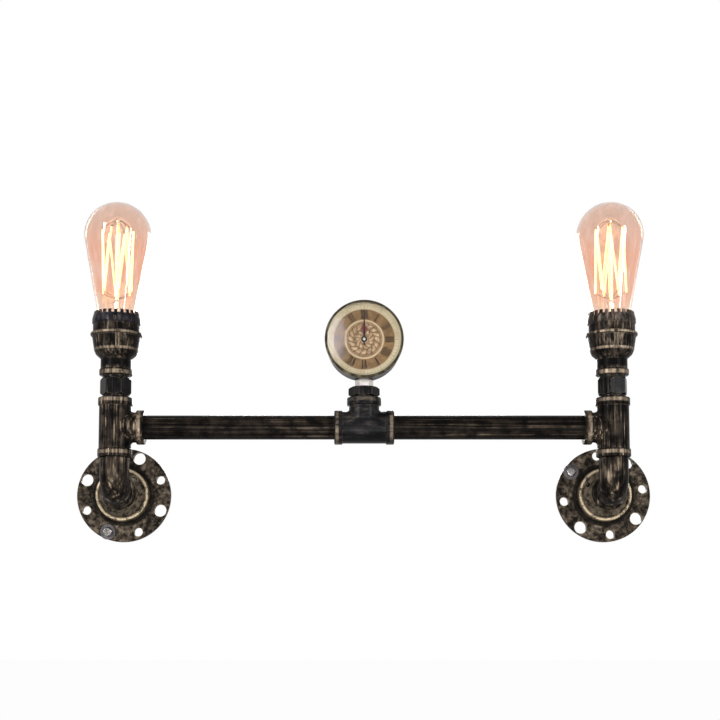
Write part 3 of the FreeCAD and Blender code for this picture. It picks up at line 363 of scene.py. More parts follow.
def radius_from(tree, place, centre, axis):
    """Distance of a place from an axis (0, 1 or 2) through a centre."""
    offset = node(tree, "ShaderNodeVectorMath", operation="SUBTRACT")
    tree.links.new(place, offset.inputs[0])
    offset.inputs[1].default_value = centre
    flat = node(tree, "ShaderNodeVectorMath", operation="MULTIPLY")
    tree.links.new(offset.outputs[0], flat.inputs[0])
    flat.inputs[1].default_value = [0.0 if number == axis else 1.0 for number in range(3)]
    length = node(tree, "ShaderNodeVectorMath", operation="LENGTH")
    tree.links.new(flat.outputs[0], length.inputs[0])
    return length.outputs["Value"]


def both(word):
    """The left and the right node of a word."""
    return "left_" + word, "right_" + word


def dress(material, *names):
    """Gives CAD nodes a material in every slot."""
    for name in names:
        mesh = cad[name].data
        for slot in range(len(mesh.materials)):
            mesh.materials[slot] = material


upright_streaks = (520.0, 520.0, 22.0)
elbow_streaks = (260.0, 260.0, 26.0)
level_streaks = (60.0, 190.0, 190.0)
tee_collars = [(0.0338, 0.0022), (0.0798, 0.0022)]
tee_branch_collar = [(0.1975, 0.0024)]
tee_collar_wear = 0.55
centre_collars = [(0.0238, 0.0019)]
centre_collar_wear = 0.4
centre_top_wear = 0.15
centre_black = (0.0030, 0.0030, 0.0034)
centre_brown = (0.0170, 0.0155, 0.0165)


def side_tee_rub(tree, place):
    """Worn collars of a side tee: two round the upright run, one round the branch."""
    upright = bands(tree, height_of(tree, place), tee_collars)
    level = bands(tree, side_of(tree, place), tee_branch_collar)
    return maths(tree, "MULTIPLY", maths(tree, "MAXIMUM", upright, level), tee_collar_wear)


def centre_tee_rub(tree, place):
    """Worn collars of the centre tee: two round the level run, one round the branch."""
    upright = maths(tree, "MULTIPLY", bands(tree, height_of(tree, place), tee_collars[1:]), centre_top_wear)
    level = maths(tree, "MULTIPLY", bands(tree, side_of(tree, place), centre_collars), centre_collar_wear)
    return maths(tree, "MAXIMUM", upright, level)


dress(aged_metal("aged side tee", upright_streaks, 1.2, 1.3, gloss=0.025, rough=0.28, bump=0.00008,
                 rub_here=side_tee_rub), *both("side_tee"))
dress(aged_metal("aged elbow", elbow_streaks, 1.1, 1.25, gloss=0.025, rough=0.28, bump=0.00008),
      *both("elbow"))
dress(aged_metal("aged centre tee", level_streaks, 0.7, 0.12, black=centre_black, brown=centre_brown,
                 rub_here=centre_tee_rub, gloss=0.055, rough=0.27, bump=0.00005), "centre_tee")
dress(aged_metal("aged hexagon", upright_streaks, 0.45, 0.2, black=centre_black, brown=centre_brown,
                 gloss=0.045, rough=0.26, bump=0.00006), *both("hex_nipple"), "tee_bushing")

# ---------------------------------------------------------------- pipes
# Half inch pipe, blackened and brushed along its length, so that long brown and brass lines show.
pipe_line = (0.17, 0.132, 0.096)
pipe_brown = (0.025, 0.0185, 0.0140)
long_pipe_streaks = (8.0, 520.0, 520.0)
nipple_streaks = (430.0, 30.0, 430.0)


def brushed_patches(tree, place):
    """Long patches of the pipe where the brushing went through the black."""
    return ramp(tree, noise(tree, place, 26.0, 2.0), 0.45, 0.62, 0.12, 1.0)


dress(aged_metal("aged pipe level", long_pipe_streaks, 0.5, 0.8, brown=pipe_brown, rubbed=pipe_line,
                 streak_here=brushed_patches, gloss=0.02, rough=0.28, bump=0.00008), *both("pipe"))
dress(aged_metal("aged pipe short", nipple_streaks, 0.5, 0.8, rubbed=pipe_line), *both("flange_nipple"))

# ---------------------------------------------------------------- wall flanges
# Cast discs with a mottled face. The rounded rim ring of the boss is rubbed almost to bright brass; a band
# in the corner at its foot is darker, and inside the ring black paint stays.
arm_x = {"left": -0.22, "right": 0.22}
ring_middle = 0.0229
ring_half = 0.0021
ring_wear = 1.5
ring_foot = 0.0268
ring_foot_half = 0.0022
ring_foot_darkening = 0.85
ring_inside = 0.0202
disc_start = 0.029
disc_wear = 0.2
hub_wear = 0.13
flange_grain = (230.0, 230.0, 230.0)
flange_rubbed = (0.42, 0.335, 0.225)
flange_brown = (0.078, 0.060, 0.046)
flange_black = (0.0070, 0.0058, 0.0048)


def flange_rub(tree, place, centre):
    """Wear of a flange by the distance from its axis: mottled on the disc, strong on the ring, a little
    on the hub."""
    radius = radius_from(tree, place, centre, 1)
    mottle = ramp(tree, noise(tree, place, 300.0, 5.0, 0.65), 0.42, 0.68)
    disc = maths(tree, "MULTIPLY", maths(tree, "MULTIPLY", mottle, disc_wear),
                 ramp(tree, radius, disc_start - 0.002, disc_start + 0.003))
    ring = maths(tree, "MULTIPLY", bands(tree, radius, [(ring_middle, ring_half)]), ring_wear)
    hub = ramp(tree, radius, ring_inside - 0.001, ring_inside + 0.001, hub_wear, 0.0)
    return maths(tree, "MAXIMUM", maths(tree, "MAXIMUM", disc, ring), hub)


def flange_foot_darkening(tree, place, centre):
    """A darker band in the corner at the foot of a flange's ring."""
    foot = bands(tree, radius_from(tree, place, centre, 1), [(ring_foot, ring_foot_half)])
    return maths(tree, "MULTIPLY", foot, ring_foot_darkening)


for side in sides:
    centre = (arm_x[side], 0.0, 0.0)
    dress(aged_metal("aged flange " + side, flange_grain, 0.8, 0.3, flange_black, flange_brown,
                     flange_rubbed, rub_here=lambda tree, place: flange_rub(tree, place, centre),
                     dark_here=lambda tree, place: flange_foot_darkening(tree, place, centre)), side + "_wall_flange")

# ---------------------------------------------------------------- screws of the flanges
# A zinc plated pan head screw and washer in one large hole of each flange, and a black socket set screw in
# each hub. The left set screw is coloured bright steel all over, a painted highlight.
zinc_light = (0.34, 0.32, 0.31)
zinc_dark = (0.10, 0.092, 0.090)
washer_light = (0.105, 0.095, 0.098)
washer_dark = (0.040, 0.036, 0.038)
black_steel = (0.02, 0.019, 0.018)
left_set_screw_highlight = (0.45, 0.42, 0.37)


def fine_finish():
    """Group for small parts: a soft cloud of two colours with a finer grain on it, for colour,
    roughness and height alike."""
    group, given, made = new_group(
        "fine finish",
        (("Place", "Vector"), ("Light", "Color"), ("Dark", "Color"), ("Scale", "Float"),
         ("Rough low", "Float"), ("Rough high", "Float")),
        (("Color", "Color"), ("Roughness", "Float"), ("Height", "Float")))
    cloud = noise(group, given["Place"], given["Scale"], 4.0)
    grain = noise(group, given["Place"], maths(group, "MULTIPLY", given["Scale"], 9.0), 3.0, 0.65)
    level = maths(group, "ADD", maths(group, "MULTIPLY", cloud, 0.65), maths(group, "MULTIPLY", grain, 0.35))
    share = ramp(group, level, 0.38, 0.64)
    group.links.new(mix(group, share, given["Dark"], given["Light"]), made["Color"])
    rough = ramp(group, level, 0.36, 0.66, given["Rough high"], given["Rough low"])
    group.links.new(rough, made["Roughness"])
    group.links.new(level, made["Height"])
    return group


fine_group = fine_finish()


def fine(name, light, dark, scale, rough, metallic=0.0, bump=0.00003, stretch=(1, 1, 1), **more):
    """Principled shader under the fine finish. rough is (low, high); more are plain shader inputs."""
    material, tree, output = new_material(name)
    finish = node(tree, "ShaderNodeGroup", node_tree=fine_group)
    for key, value in (("Place", stretched(tree, object_place(tree), stretch)), ("Light", light),
                       ("Dark", dark), ("Scale", scale), ("Rough low", rough[0]), ("Rough high", rough[1])):
        feed(tree, value, finish.inputs[key])
    shader = node(tree, "ShaderNodeBsdfPrincipled")
    shader.inputs["Metallic"].default_value = metallic
    for key, value in more.items():
        feed(tree, value, shader.inputs[key.replace("_", " ")])
    tree.links.new(finish.outputs["Color"], shader.inputs["Base Color"])
    tree.links.new(finish.outputs["Roughness"], shader.inputs["Roughness"])
    tree.links.new(bumped(tree, finish.outputs["Height"], 0.7, bump), shader.inputs["Normal"])
    tree.links.new(shader.outputs[0], output.inputs["Surface"])
    return material, tree, shader


dress(fine("zinc plate", zinc_light, zinc_dark, 260.0, (0.22, 0.42), 1.0)[0],
      "flange_screws", "holder_tubes")
dress(fine("washer steel", washer_light, washer_dark, 260.0, (0.3, 0.45), 0.8)[0], "flange_washers")
set_screw_finish, tree, shader = fine("set screw steel", black_steel, iron_black, 300.0, (0.3, 0.5), 0.6)
# Painted highlight: the whole set screw on the left side gets the bright steel colour.
on_left = maths(tree, "LESS_THAN", coordinate(tree, object_place(tree), "X"), 0.0)
tint = shader.inputs["Base Color"].links[0].from_socket
tree.links.new(mix(tree, on_left, tint, left_set_screw_highlight), shader.inputs["Base Color"])
dress(set_screw_finish, "hub_set_screws")

# ---------------------------------------------------------------- lamp holder cups
# Turned cups with a neck bead, a belly, a big bead under the band and raised ribs, and a notched ring
# on top. The beads and the hip of the belly are rubbed bright; the neck and the ring stay dark.
run_height = 0.056
cup_streaks = (420.0, 420.0, 70.0)
cup_bright = [(run_height + 0.0830, 0.0017), (run_height + 0.0690, 0.0016), (run_height + 0.0485, 0.0024)]
cup_dark = [(run_height + 0.0570, 0.0050)]
cup_brown = {"left": iron_brown, "right": (0.080, 0.060, 0.045)}
cup_bead_wear = {"left": 0.55, "right": 0.75}
crown_black = {"left": (0.0040, 0.0038, 0.0050), "right": (0.0120, 0.0094, 0.0078)}
crown_brown = {"left": (0.030, 0.027, 0.033), "right": (0.135, 0.102, 0.084)}
crown_wear = {"left": 0.2, "right": 0.6}


def bead_rub(tree, place, wear):
    """The cup's beads, as bands of height, each as strong as the wear."""
    return maths(tree, "MULTIPLY", bands(tree, height_of(tree, place), cup_bright), wear)


for side in sides:
    dress(aged_metal("aged cup " + side, cup_streaks, 0.9, 0.62, brown=cup_brown[side], gloss=0.03,
                     rub_here=lambda tree, place: bead_rub(tree, place, cup_bead_wear[side]),
                     dark_here=lambda tree, place: bands(tree, height_of(tree, place), cup_dark)),
          side + "_holder_cup")
    dress(aged_metal("aged crown " + side, cup_streaks, 0.6, crown_wear[side], black=crown_black[side],
                     brown=crown_brown[side], gloss=0.05, rough=0.26), side + "_crown_ring")

# ---------------------------------------------------------------- inside of a lamp holder
# A glazed ceramic core carries the brass screw shell and the springy centre contact.
ceramic_light = (0.82, 0.80, 0.74)
ceramic_dark = (0.70, 0.67, 0.60)
brass_light = (0.78, 0.58, 0.28)
brass_dark = (0.52, 0.36, 0.15)

dress(fine("glazed ceramic", ceramic_light, ceramic_dark, 180.0, (0.12, 0.22))[0], *both("lamp_insulator"))
dress(fine("contact brass", brass_light, brass_dark, 240.0, (0.2, 0.4), 1.0)[0],
      *both("screw_shell"), *both("centre_contact"), "minute_arbor")

# ---------------------------------------------------------------- bulb caps
# Rolled brass screw caps with a real thread, sealed with black glass and tipped with solder.
bulb_y = -0.055
mm = 0.001
cap_inner_r = 11.65
cap_root_r = 12.35
cap_thread_depth = 0.85
cap_pitch = 3.6
cap_foot = 71.4
cap_thread_top = 89.4
cap_top = 92.8
cap_rim_bevel = 0.5
cap_skirt_blend = 1.2
cap_rows = 150
cap_inner_rows = 12
cap_columns = 120
cap_light = (0.80, 0.64, 0.36)
cap_dark = (0.55, 0.42, 0.20)
seal_light = (0.014, 0.013, 0.015)
seal_dark = (0.006, 0.006, 0.008)
solder_light = (0.66, 0.66, 0.67)
solder_dark = (0.42, 0.42, 0.44)


def quads(rows, columns, ring_rows=False, ring_columns=True):
    """Quads over a grid of points; a ring joins the last row or column to the first."""
    row, column = np.meshgrid(np.arange(rows if ring_rows else rows - 1),
                              np.arange(columns if ring_columns else columns - 1), indexing="ij")
    next_row, next_column = (row + 1) % rows, (column + 1) % columns
    return np.stack([row * columns + column, next_row * columns + column,
                     next_row * columns + next_column, row * columns + next_column], -1).reshape(-1, 4)


def new_piece(name, points, faces, body, material, replaced=(), sharp=40.0, relief=None):
    """Mesh object from points in metres and quads. Points that fall together are merged, faces turn
    outwards, and edges over the sharp angle stay crisp. relief is a value per point for the material."""
    points = np.asarray(points, dtype=np.float32).reshape(-1, 3)
    faces = np.asarray(faces, dtype=np.int32)
    mesh = bpy.data.meshes.new(name)
    mesh.vertices.add(len(points))
    mesh.vertices.foreach_set("co", points.ravel())
    mesh.loops.add(faces.size)
    mesh.loops.foreach_set("vertex_index", faces.ravel())
    mesh.polygons.add(len(faces))
    mesh.polygons.foreach_set("loop_start", np.arange(0, faces.size, 4, dtype=np.int32))
    mesh.update(calc_edges=True)
    if relief is not None:
        heights = mesh.attributes.new("relief", "FLOAT", "POINT")
        heights.data.foreach_set("value", np.ravel(relief).astype(np.float32))
    shell = bmesh.new()
    shell.from_mesh(mesh)
    bmesh.ops.remove_doubles(shell, verts=shell.verts, dist=1e-6)
    bmesh.ops.recalc_face_normals(shell, faces=shell.faces)
    shell.to_mesh(mesh)
    shell.free()
    mesh.shade_smooth()
    mesh.set_sharp_from_angle(angle=math.radians(sharp))
    mesh.materials.append(material)
    piece = bpy.data.objects.new(name, mesh)
    bpy.context.collection.objects.link(piece)
    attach(piece, body)
    if replaced:
        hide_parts(*replaced)
    return piece


def stand_on_bulb(points, side):
    """Millimetres round the holder's axis to the frame's metres."""
    return points * mm + np.array((arm_x[side], bulb_y, run_height))


def thread_shell():
    """Cap shell: the outside radius is root + depth * (half cosine of the turn's phase) where the phase
    is height / pitch - angle / full turn. The thread fades out over half a turn at both ends, the foot is
    bevelled and the top is a plain band. The inside is a plain cylinder."""
    level = np.linspace(cap_foot, cap_top, cap_rows)[:, None]
    angle = np.linspace(0, 2 * np.pi, cap_columns, endpoint=False)[None, :]
    phase = (level - cap_foot) / cap_pitch - angle / (2 * np.pi)
    fade = np.clip(phase * 2, 0, 1) * np.clip((cap_thread_top - level) / (cap_pitch / 2), 0, 1)
    wave = (0.5 - 0.5 * np.cos(2 * np.pi * phase)) ** 0.8
    skirt = np.clip((level - cap_thread_top + cap_skirt_blend / 2) / cap_skirt_blend, 0, 1) + 0 * angle
    outer = cap_root_r + cap_thread_depth * np.maximum(wave * fade, skirt)
    outer = outer - cap_rim_bevel * np.clip((cap_foot + cap_rim_bevel - level) / cap_rim_bevel, 0, 1)
    inner_level = np.linspace(cap_top, cap_foot, cap_inner_rows)[:, None] + 0 * angle
    radius = np.vstack([outer, np.full_like(inner_level, cap_inner_r)])
    level = np.vstack([level + 0 * angle, inner_level])
    angle = np.broadcast_to(angle, radius.shape)
    points = np.stack([radius * np.cos(angle), radius * np.sin(angle), level], -1)
    return points.reshape(-1, 3), quads(len(radius), cap_columns, ring_rows=True)


cap_brass = fine("cap brass", cap_light, cap_dark, 200.0, (0.2, 0.38), 1.0)[0]
for side in sides:
    points, faces = thread_shell()
    new_piece(side + "_threaded_cap", stand_on_bulb(points, side), faces, side + "_bulb",
              cap_brass, (side + "_bulb_cap",))
dress(fine("seal glass", seal_light, seal_dark, 200.0, (0.06, 0.14))[0], *both("bulb_seal"))
dress(fine("solder", solder_light, solder_dark, 420.0, (0.25, 0.5), 1.0, 0.00012)[0], *both("bulb_tip"))

# ---------------------------------------------------------------- bulb glass
# Blown envelopes tinted a light amber pink, greyer near the top and darker where the wall is seen
# edge on, with the faint waves of blown glass.
glass_low = (0.955, 0.82, 0.71)
glass_middle = (0.915, 0.630, 0.510)
glass_top = (0.82, 0.67, 0.59)
glass_edge = (0.62, 0.52, 0.46)
glass_cloud = (0.91, 0.735, 0.655)
glass_ior = 1.45
amber_from = 0.150
amber_full = 0.185
grey_from = 0.205
grey_full = 0.250


def bumped_glass(tree, output, tint, height, strength, distance, roughness, ior):
    """Clear glass shader with a tint and a faint relief, joined to the output."""
    shader = node(tree, "ShaderNodeBsdfPrincipled")
    shader.inputs["Transmission Weight"].default_value = 1.0
    shader.inputs["Roughness"].default_value = roughness
    shader.inputs["IOR"].default_value = ior
    tree.links.new(tint, shader.inputs["Base Color"])
    tree.links.new(bumped(tree, height, strength, distance), shader.inputs["Normal"])
    tree.links.new(shader.outputs[0], output.inputs["Surface"])
    return shader


bulb_glass, tree, output = new_material("amber glass")
place = object_place(tree)
level = height_of(tree, place)
tint = mix(tree, ramp(tree, level, amber_from, amber_full), glass_low, glass_middle)
tint = mix(tree, ramp(tree, level, grey_from, grey_full), tint, glass_top)
cloud = noise(tree, stretched(tree, place, (1, 1, 0.3)), 110.0, 2.0)
tint = mix(tree, ramp(tree, cloud, 0.46, 0.68), tint, glass_cloud)
facing = node(tree, "ShaderNodeLayerWeight")
facing.inputs["Blend"].default_value = 0.5
tint = mix(tree, ramp(tree, facing.outputs["Facing"], 0.62, 0.97), tint, glass_edge)
bumped_glass(tree, output, tint, noise(tree, place, 45.0, 1.0), 0.25, 0.0006, 0.03, glass_ior)
dress(bulb_glass, *both("bulb_glass"))

# ---------------------------------------------------------------- inside of a bulb
# A glass stem carries twelve molybdenum hook wires, and a fine coiled filament runs up and down between the
# hooks. A band of the stem is painted yellow and given a painted glow, standing in for the filament's light
# seen through the stem.
cage_hooks = 6
cage_r = 13.6
cage_bottom = 120.8
cage_top = 178.0
stem_rod_r = 1.5
stem_button_r = 2.7
wire_sink = 0.6
upper_root = 186.0
lower_root = 115.8
hook_wire_r = 0.25
hook_r = 1.15
hook_loop_end = -0.55 * math.pi
hook_arm_steps = 16
hook_loop_steps = 14
hook_wire_sides = 8
upper_arch = 4.2
lower_sag = 1.6
coil_r = 0.80
coil_wire_r = 0.20
coil_wire_sides = 4
coil_pitch = 0.85
coil_steps = 9
filament_glow = 3.2
filament_light = (1.0, 0.80, 0.45)
filament_dark = (0.95, 0.66, 0.30)
filament_lamp = (1.0, 0.78, 0.42)
hook_light = (0.34, 0.27, 0.16)
hook_dark = (0.16, 0.12, 0.07)
# Painted glow: the stem's emission and the yellow colour in a band of it stand in for the filament's light;
# the stem is no lamp.
stem_painted_glow = 2.4
painted_glow_from = 0.168
painted_glow_full = 0.185
painted_glow_fades = 0.225
painted_glow_end = 0.242
stem_clear = (0.97, 0.96, 0.92)
stem_painted_yellow = (1.0, 0.80, 0.15)
stem_painted_glow_colour = (1.0, 0.80, 0.10)
stem_ior = 1.5


def tube(path, across, wire_r, sides_round):
    """Closed round wire along a path of points. across is a steady sideways direction per point; the
    section's second direction is the path's tangent crossed with it. Both ends shrink to a point."""
    tangent = np.gradient(path, axis=0)
    tangent /= np.linalg.norm(tangent, axis=1, keepdims=True)
    first = across - tangent * np.sum(across * tangent, axis=1, keepdims=True)
    first /= np.linalg.norm(first, axis=1, keepdims=True)
    second = np.cross(tangent, first)
    turn = np.linspace(0, 2 * np.pi, sides_round, endpoint=False)[None, :, None]
    ends_twice = np.r_[0, np.arange(len(path)), len(path) - 1]
    path, first, second = path[ends_twice][:, None], first[ends_twice][:, None], second[ends_twice][:, None]
    radius = np.full((len(path), 1, 1), wire_r)
    radius[[0, -1]] = 0.0
    points = path + radius * (np.cos(turn) * first + np.sin(turn) * second)
    return points.reshape(-1, 3), quads(len(path), sides_round)


def joined(shapes):
    """One set of points and quads from several."""
    points, faces, count = [], [], 0
    for more_points, more_faces in shapes:
        points.append(more_points)
        faces.append(more_faces + count)
        count += len(more_points)
    return np.vstack(points), np.vstack(faces)


def cage_point(index):
    """Hook of the cage: even ones at the bottom, odd ones at the top; and its outward direction."""
    angle = math.radians(180 * index / cage_hooks - 90 + 90 / cage_hooks)
    outward = np.array((math.cos(angle), math.sin(angle), 0.0))
    return outward * cage_r + np.array((0, 0, cage_top if index % 2 else cage_bottom)), outward


def hook_wire(index):
    """Wire from the stem to a hook: a quadratic curve that bows up (or hangs, for the lower ones), and
    then most of a circle round the filament, in the upright plane through the holder's axis."""
    hook, outward = cage_point(index)
    up = np.array((0.0, 0.0, 1.0))
    if index % 2:
        root = outward * (stem_button_r - wire_sink) + up * upper_root
        bow = up * upper_arch
    else:
        root = outward * (stem_rod_r - wire_sink) + up * lower_root
        bow = -up * lower_sag
    end = hook - outward * hook_r
    share = np.linspace(0, 1, hook_arm_steps)[:, None]
    middle = 0.35 * root + 0.65 * end + bow
    arm = (1 - share) ** 2 * root + 2 * share * (1 - share) * middle + share ** 2 * end
    turn = np.linspace(math.pi, hook_loop_end, hook_loop_steps)[1:, None]
    loop = hook + hook_r * (np.cos(turn) * outward + np.sin(turn) * up)
    path = np.vstack([arm, loop])
    across = np.broadcast_to(np.cross(outward, up), path.shape)
    return tube(path, across, hook_wire_r, hook_wire_sides)


def filament_strand(index):
    """Coil between two hooks: a helix of coil_r and coil_pitch round the straight line between them."""
    start, outward = cage_point(index)
    end, other = cage_point(index + 1)
    along = (end - start) / np.linalg.norm(end - start)
    first = outward + other
    first = first - along * np.dot(first, along)
    first /= np.linalg.norm(first)
    second = np.cross(along, first)
    length = np.linalg.norm(end - start)
    turns = round(length / coil_pitch)
    share = np.linspace(0, 1, turns * coil_steps + 1)[:, None]
    angle = share * turns * 2 * np.pi
    radial = np.cos(angle) * first + np.sin(angle) * second
    return tube(start + share * length * along + coil_r * radial, radial, coil_wire_r, coil_wire_sides)


hook_finish = fine("molybdenum wire", hook_light, hook_dark, 300.0, (0.3, 0.5), 1.0)[0]
filament_finish, tree, shader = fine("lit filament", filament_light, filament_dark, 300.0, (0.5, 0.6))
feed(tree, filament_lamp, shader.inputs["Emission Color"])
shader.inputs["Emission Strength"].default_value = filament_glow
for side in sides:
    points, faces = joined([hook_wire(index) for index in range(2 * cage_hooks)])
    new_piece(side + "_hook_wires", stand_on_bulb(points, side), faces, side + "_bulb",
              hook_finish, (side + "_bulb_supports",))
    points, faces = joined([filament_strand(index) for index in range(2 * cage_hooks - 1)])
    new_piece(side + "_coiled_filament", stand_on_bulb(points, side), faces, side + "_bulb",
              filament_finish, (side + "_filament",))

stem_glass, tree, output = new_material("stem glass")
place = object_place(tree)
level = height_of(tree, place)
# The band of the stem beside the filament gets the painted yellow and the painted glow.
lit = maths(tree, "MULTIPLY", ramp(tree, level, painted_glow_from, painted_glow_full),
            ramp(tree, level, painted_glow_fades, painted_glow_end, 1.0, 0.0))
lit = maths(tree, "MULTIPLY", lit, ramp(tree, noise(tree, place, 120.0, 3.0), 0.2, 0.6, 0.6, 1.0))
shader = bumped_glass(tree, output, mix(tree, lit, stem_clear, stem_painted_yellow), noise(tree, place, 160.0, 2.0),
                      0.3, 0.0003, 0.04, stem_ior)
shader.inputs["Emission Strength"].default_value = stem_painted_glow
tree.links.new(mix(tree, lit, (0.0, 0.0, 0.0), stem_painted_glow_colour), shader.inputs["Emission Color"])
dress(stem_glass, *both("bulb_stem"))

# ---------------------------------------------------------------- clock stem and case
# A bright nickel hexagon stem stands in the bushing and holds a black lacquered case. The bezel is
# blackened brass, rubbed at its edges.
nickel_light = (0.64, 0.59, 0.56)
nickel_dark = (0.50, 0.46, 0.44)
lacquer_light = (0.024, 0.019, 0.016)
lacquer_dark = (0.009, 0.0075, 0.0065)
bezel_black = (0.020, 0.017, 0.010)
bezel_brown = (0.115, 0.097, 0.058)
bezel_rubbed = (0.30, 0.26, 0.18)

dress(fine("bright nickel", nickel_light, nickel_dark, 130.0, (0.3, 0.4), 1.0, 0.000002,
           stretch=(1, 1, 5))[0], "clock_stem")
dress(fine("black lacquer", lacquer_light, lacquer_dark, 90.0, (0.4, 0.5), Specular_IOR_Level=0.12)[0],
      "clock_case")
dress(aged_metal("aged bezel", (160.0, 160.0, 160.0), 0.5, 0.4, black=bezel_black, brown=bezel_brown,
                 rubbed=bezel_rubbed, unshaded_side_share=0.85, bump=0.00005), "clock_bezel")

# ---------------------------------------------------------------- back of the clock insert
# A moulded carrier with a rubber band round it, a closed black movement, its button cell and the
# ribbed setting knob.
carrier_light = (0.075, 0.07, 0.065)
carrier_dark = (0.045, 0.042, 0.040)
rubber_light = (0.030, 0.029, 0.028)
rubber_dark = (0.016, 0.016, 0.016)
movement_light = (0.034, 0.034, 0.036)
movement_dark = (0.018, 0.018, 0.020)
cell_light = (0.74, 0.74, 0.73)
cell_dark = (0.58, 0.58, 0.58)
knob_light = (0.62, 0.60, 0.56)
knob_dark = (0.50, 0.48, 0.45)

dress(fine("carrier plastic", carrier_light, carrier_dark, 350.0, (0.38, 0.52))[0], "insert_body")
dress(fine("band rubber", rubber_light, rubber_dark, 500.0, (0.6, 0.8), 0.0, 0.00008)[0], "insert_gasket")
dress(fine("movement plastic", movement_light, movement_dark, 420.0, (0.35, 0.5))[0], "clock_movement")
dress(fine("cell steel", cell_light, cell_dark, 260.0, (0.18, 0.3), 1.0)[0], "button_cell")
dress(fine("knob plastic", knob_light, knob_dark, 380.0, (0.35, 0.5))[0], "setting_knob")

# ---------------------------------------------------------------- dial
# A printed brass dial: a cream minute track, a brown hour ring with raised Roman numerals, a pale ring
# and a gilt rosette of leaning leaves in the middle. Radii in millimetres from the clock's axis.
clock_centre = (0.0, -0.055, 0.132)
dial_front = 14.8
cream_from = 26.8
brown_from = 17.45
pale_from = 15.9
print_gloss = 0.08
gilt_gloss = 0.12
dial_cream = (0.52, 0.455, 0.300)
dial_cream_aged = (0.425, 0.355, 0.218)
dial_brown = (0.135, 0.075, 0.030)
dial_brown_light = (0.205, 0.125, 0.052)
dial_pale = (0.43, 0.315, 0.185)
dial_ink = (0.016, 0.009, 0.005)
dial_ink_light = (0.030, 0.017, 0.010)
track_ink = (0.27, 0.20, 0.115)
track_ink_light = (0.36, 0.28, 0.17)
rosette_low = (0.130, 0.072, 0.032)
rosette_mid = (0.22, 0.145, 0.075)
rosette_high = (0.50, 0.365, 0.205)
rosette_rise = 0.30
rosette_inner_r = 2.5
rosette_outer_r = 15.7
rosette_rows = 76
rosette_columns = 288
outer_leaf_count = 16
outer_leaf_foot = 8.6
outer_leaf_tip = 14.3
outer_leaf_middle = 11.5
outer_leaf_lean = 0.42
inner_leaf_count = 12
inner_leaf_foot = 3.0
inner_leaf_tip = 9.2
inner_leaf_middle = 6.0
inner_leaf_lean = -0.5
inner_leaf_share = 0.95
rosette_bead_count = 56
rosette_bead_r = 14.9
rosette_bead_half = 0.55
rosette_bead_share = 0.85
collar_r = 2.9
collar_half = 0.7
numeral_words = ("XII", "I", "II", "III", "IIII", "V", "VI", "VII", "VIII", "IX", "X", "XI")
numeral_foot = 18.5
numeral_height = 7.3
numeral_rise = 0.10
letter_width = {"I": 1.6, "V": 2.65, "X": 2.75}
letter_gap = 0.2
serif_height = 0.42
thick_stroke = 1.1
thin_stroke = 0.65
stroke_inset = 0.45
track_lines = (27.2, 30.7)
track_line_half = 0.12
track_rise = 0.05
tick_foot = 27.4
tick_head = 30.5
tick_half = 0.13
hour_tick_half = 0.32


def on_clock(points):
    """Millimetres on the clock (right, up, out of the wall) to the frame's metres."""
    points = np.asarray(points)
    return np.stack([points[..., 0], -points[..., 2], points[..., 1]], -1) * mm + np.array(clock_centre)


def plates(corners, bottom, top):
    """Flat plates from four corners each: the corners at two levels, joined by six quads."""
    corners = np.asarray(corners, dtype=float)
    count = len(corners)
    levels = np.broadcast_to(np.array([bottom, top])[None, :, None, None], (count, 2, 4, 1))
    points = np.concatenate([np.broadcast_to(corners[:, None], (count, 2, 4, 2)), levels], -1)
    box = np.array([(0, 1, 2, 3), (4, 7, 6, 5), (0, 4, 5, 1), (1, 5, 6, 2), (2, 6, 7, 3), (3, 7, 4, 0)])
    return points.reshape(-1, 3), (box[None] + 8 * np.arange(count)[:, None, None]).reshape(-1, 4)


def bar(foot, head, width):
    """Stroke of a letter from its foot to its head, both x positions, as four corners."""
    half = width / 2
    return [(foot - half, 0), (foot + half, 0), (head + half, numeral_height), (head - half, numeral_height)]


def numeral(word):
    """Strokes of a Roman numeral, centred, with serifs along the foot and the head."""
    strokes, start = [], 0.0
    for letter in word:
        width = letter_width[letter]
        centre, reach = start + width / 2, width / 2 - stroke_inset
        left, right = centre - reach, centre + reach
        if letter == "I":
            strokes.append(bar(centre, centre, thick_stroke))
        elif letter == "V":
            strokes += [bar(centre, left, thick_stroke), bar(centre, right, thin_stroke)]
        else:
            strokes += [bar(right, left, thick_stroke), bar(left, right, thin_stroke)]
        for low in (0.0, numeral_height - serif_height):
            if low or letter != "V":
                strokes.append([(start, low), (start + width, low), (start + width, low + serif_height),
                                (start, low + serif_height)])
        start += width + letter_gap
    strokes = np.array(strokes)
    strokes[..., 0] -= (start - letter_gap) / 2
    strokes[..., 1] += numeral_foot
    return strokes


def turned_clockwise(corners, angle):
    """Corners turned clockwise round the clock's axis."""
    x, y = corners[..., 0], corners[..., 1]
    cosine, sine = math.cos(angle), math.sin(angle)
    return np.stack([x * cosine + y * sine, y * cosine - x * sine], -1)


def lathe(profile, columns):
    """Closed ring profile of (radius, level) carried round the clock's axis."""
    profile = np.asarray(profile, dtype=float)
    angle = np.linspace(0, 2 * np.pi, columns, endpoint=False)[None, :]
    radius, level = profile[:, :1], profile[:, 1:]
    points = np.stack([radius * np.cos(angle), radius * np.sin(angle), level + 0 * angle], -1)
    return points.reshape(-1, 3), quads(len(profile), columns, ring_rows=True)


def leaves(radius, angle, count, inner, outer, lean):
    """Ring of leaves: a sine arch along the radius times a rounded cosine across, whose turn grows with
    the radius by the lean, less a narrow rib along each leaf."""
    arch = np.sin(np.pi * np.clip((radius - inner) / (outer - inner), 0, 1)) ** 0.7
    across = np.abs(np.cos(count / 2 * angle + lean))
    return arch * (across ** 0.8 - 0.45 * across ** 30)


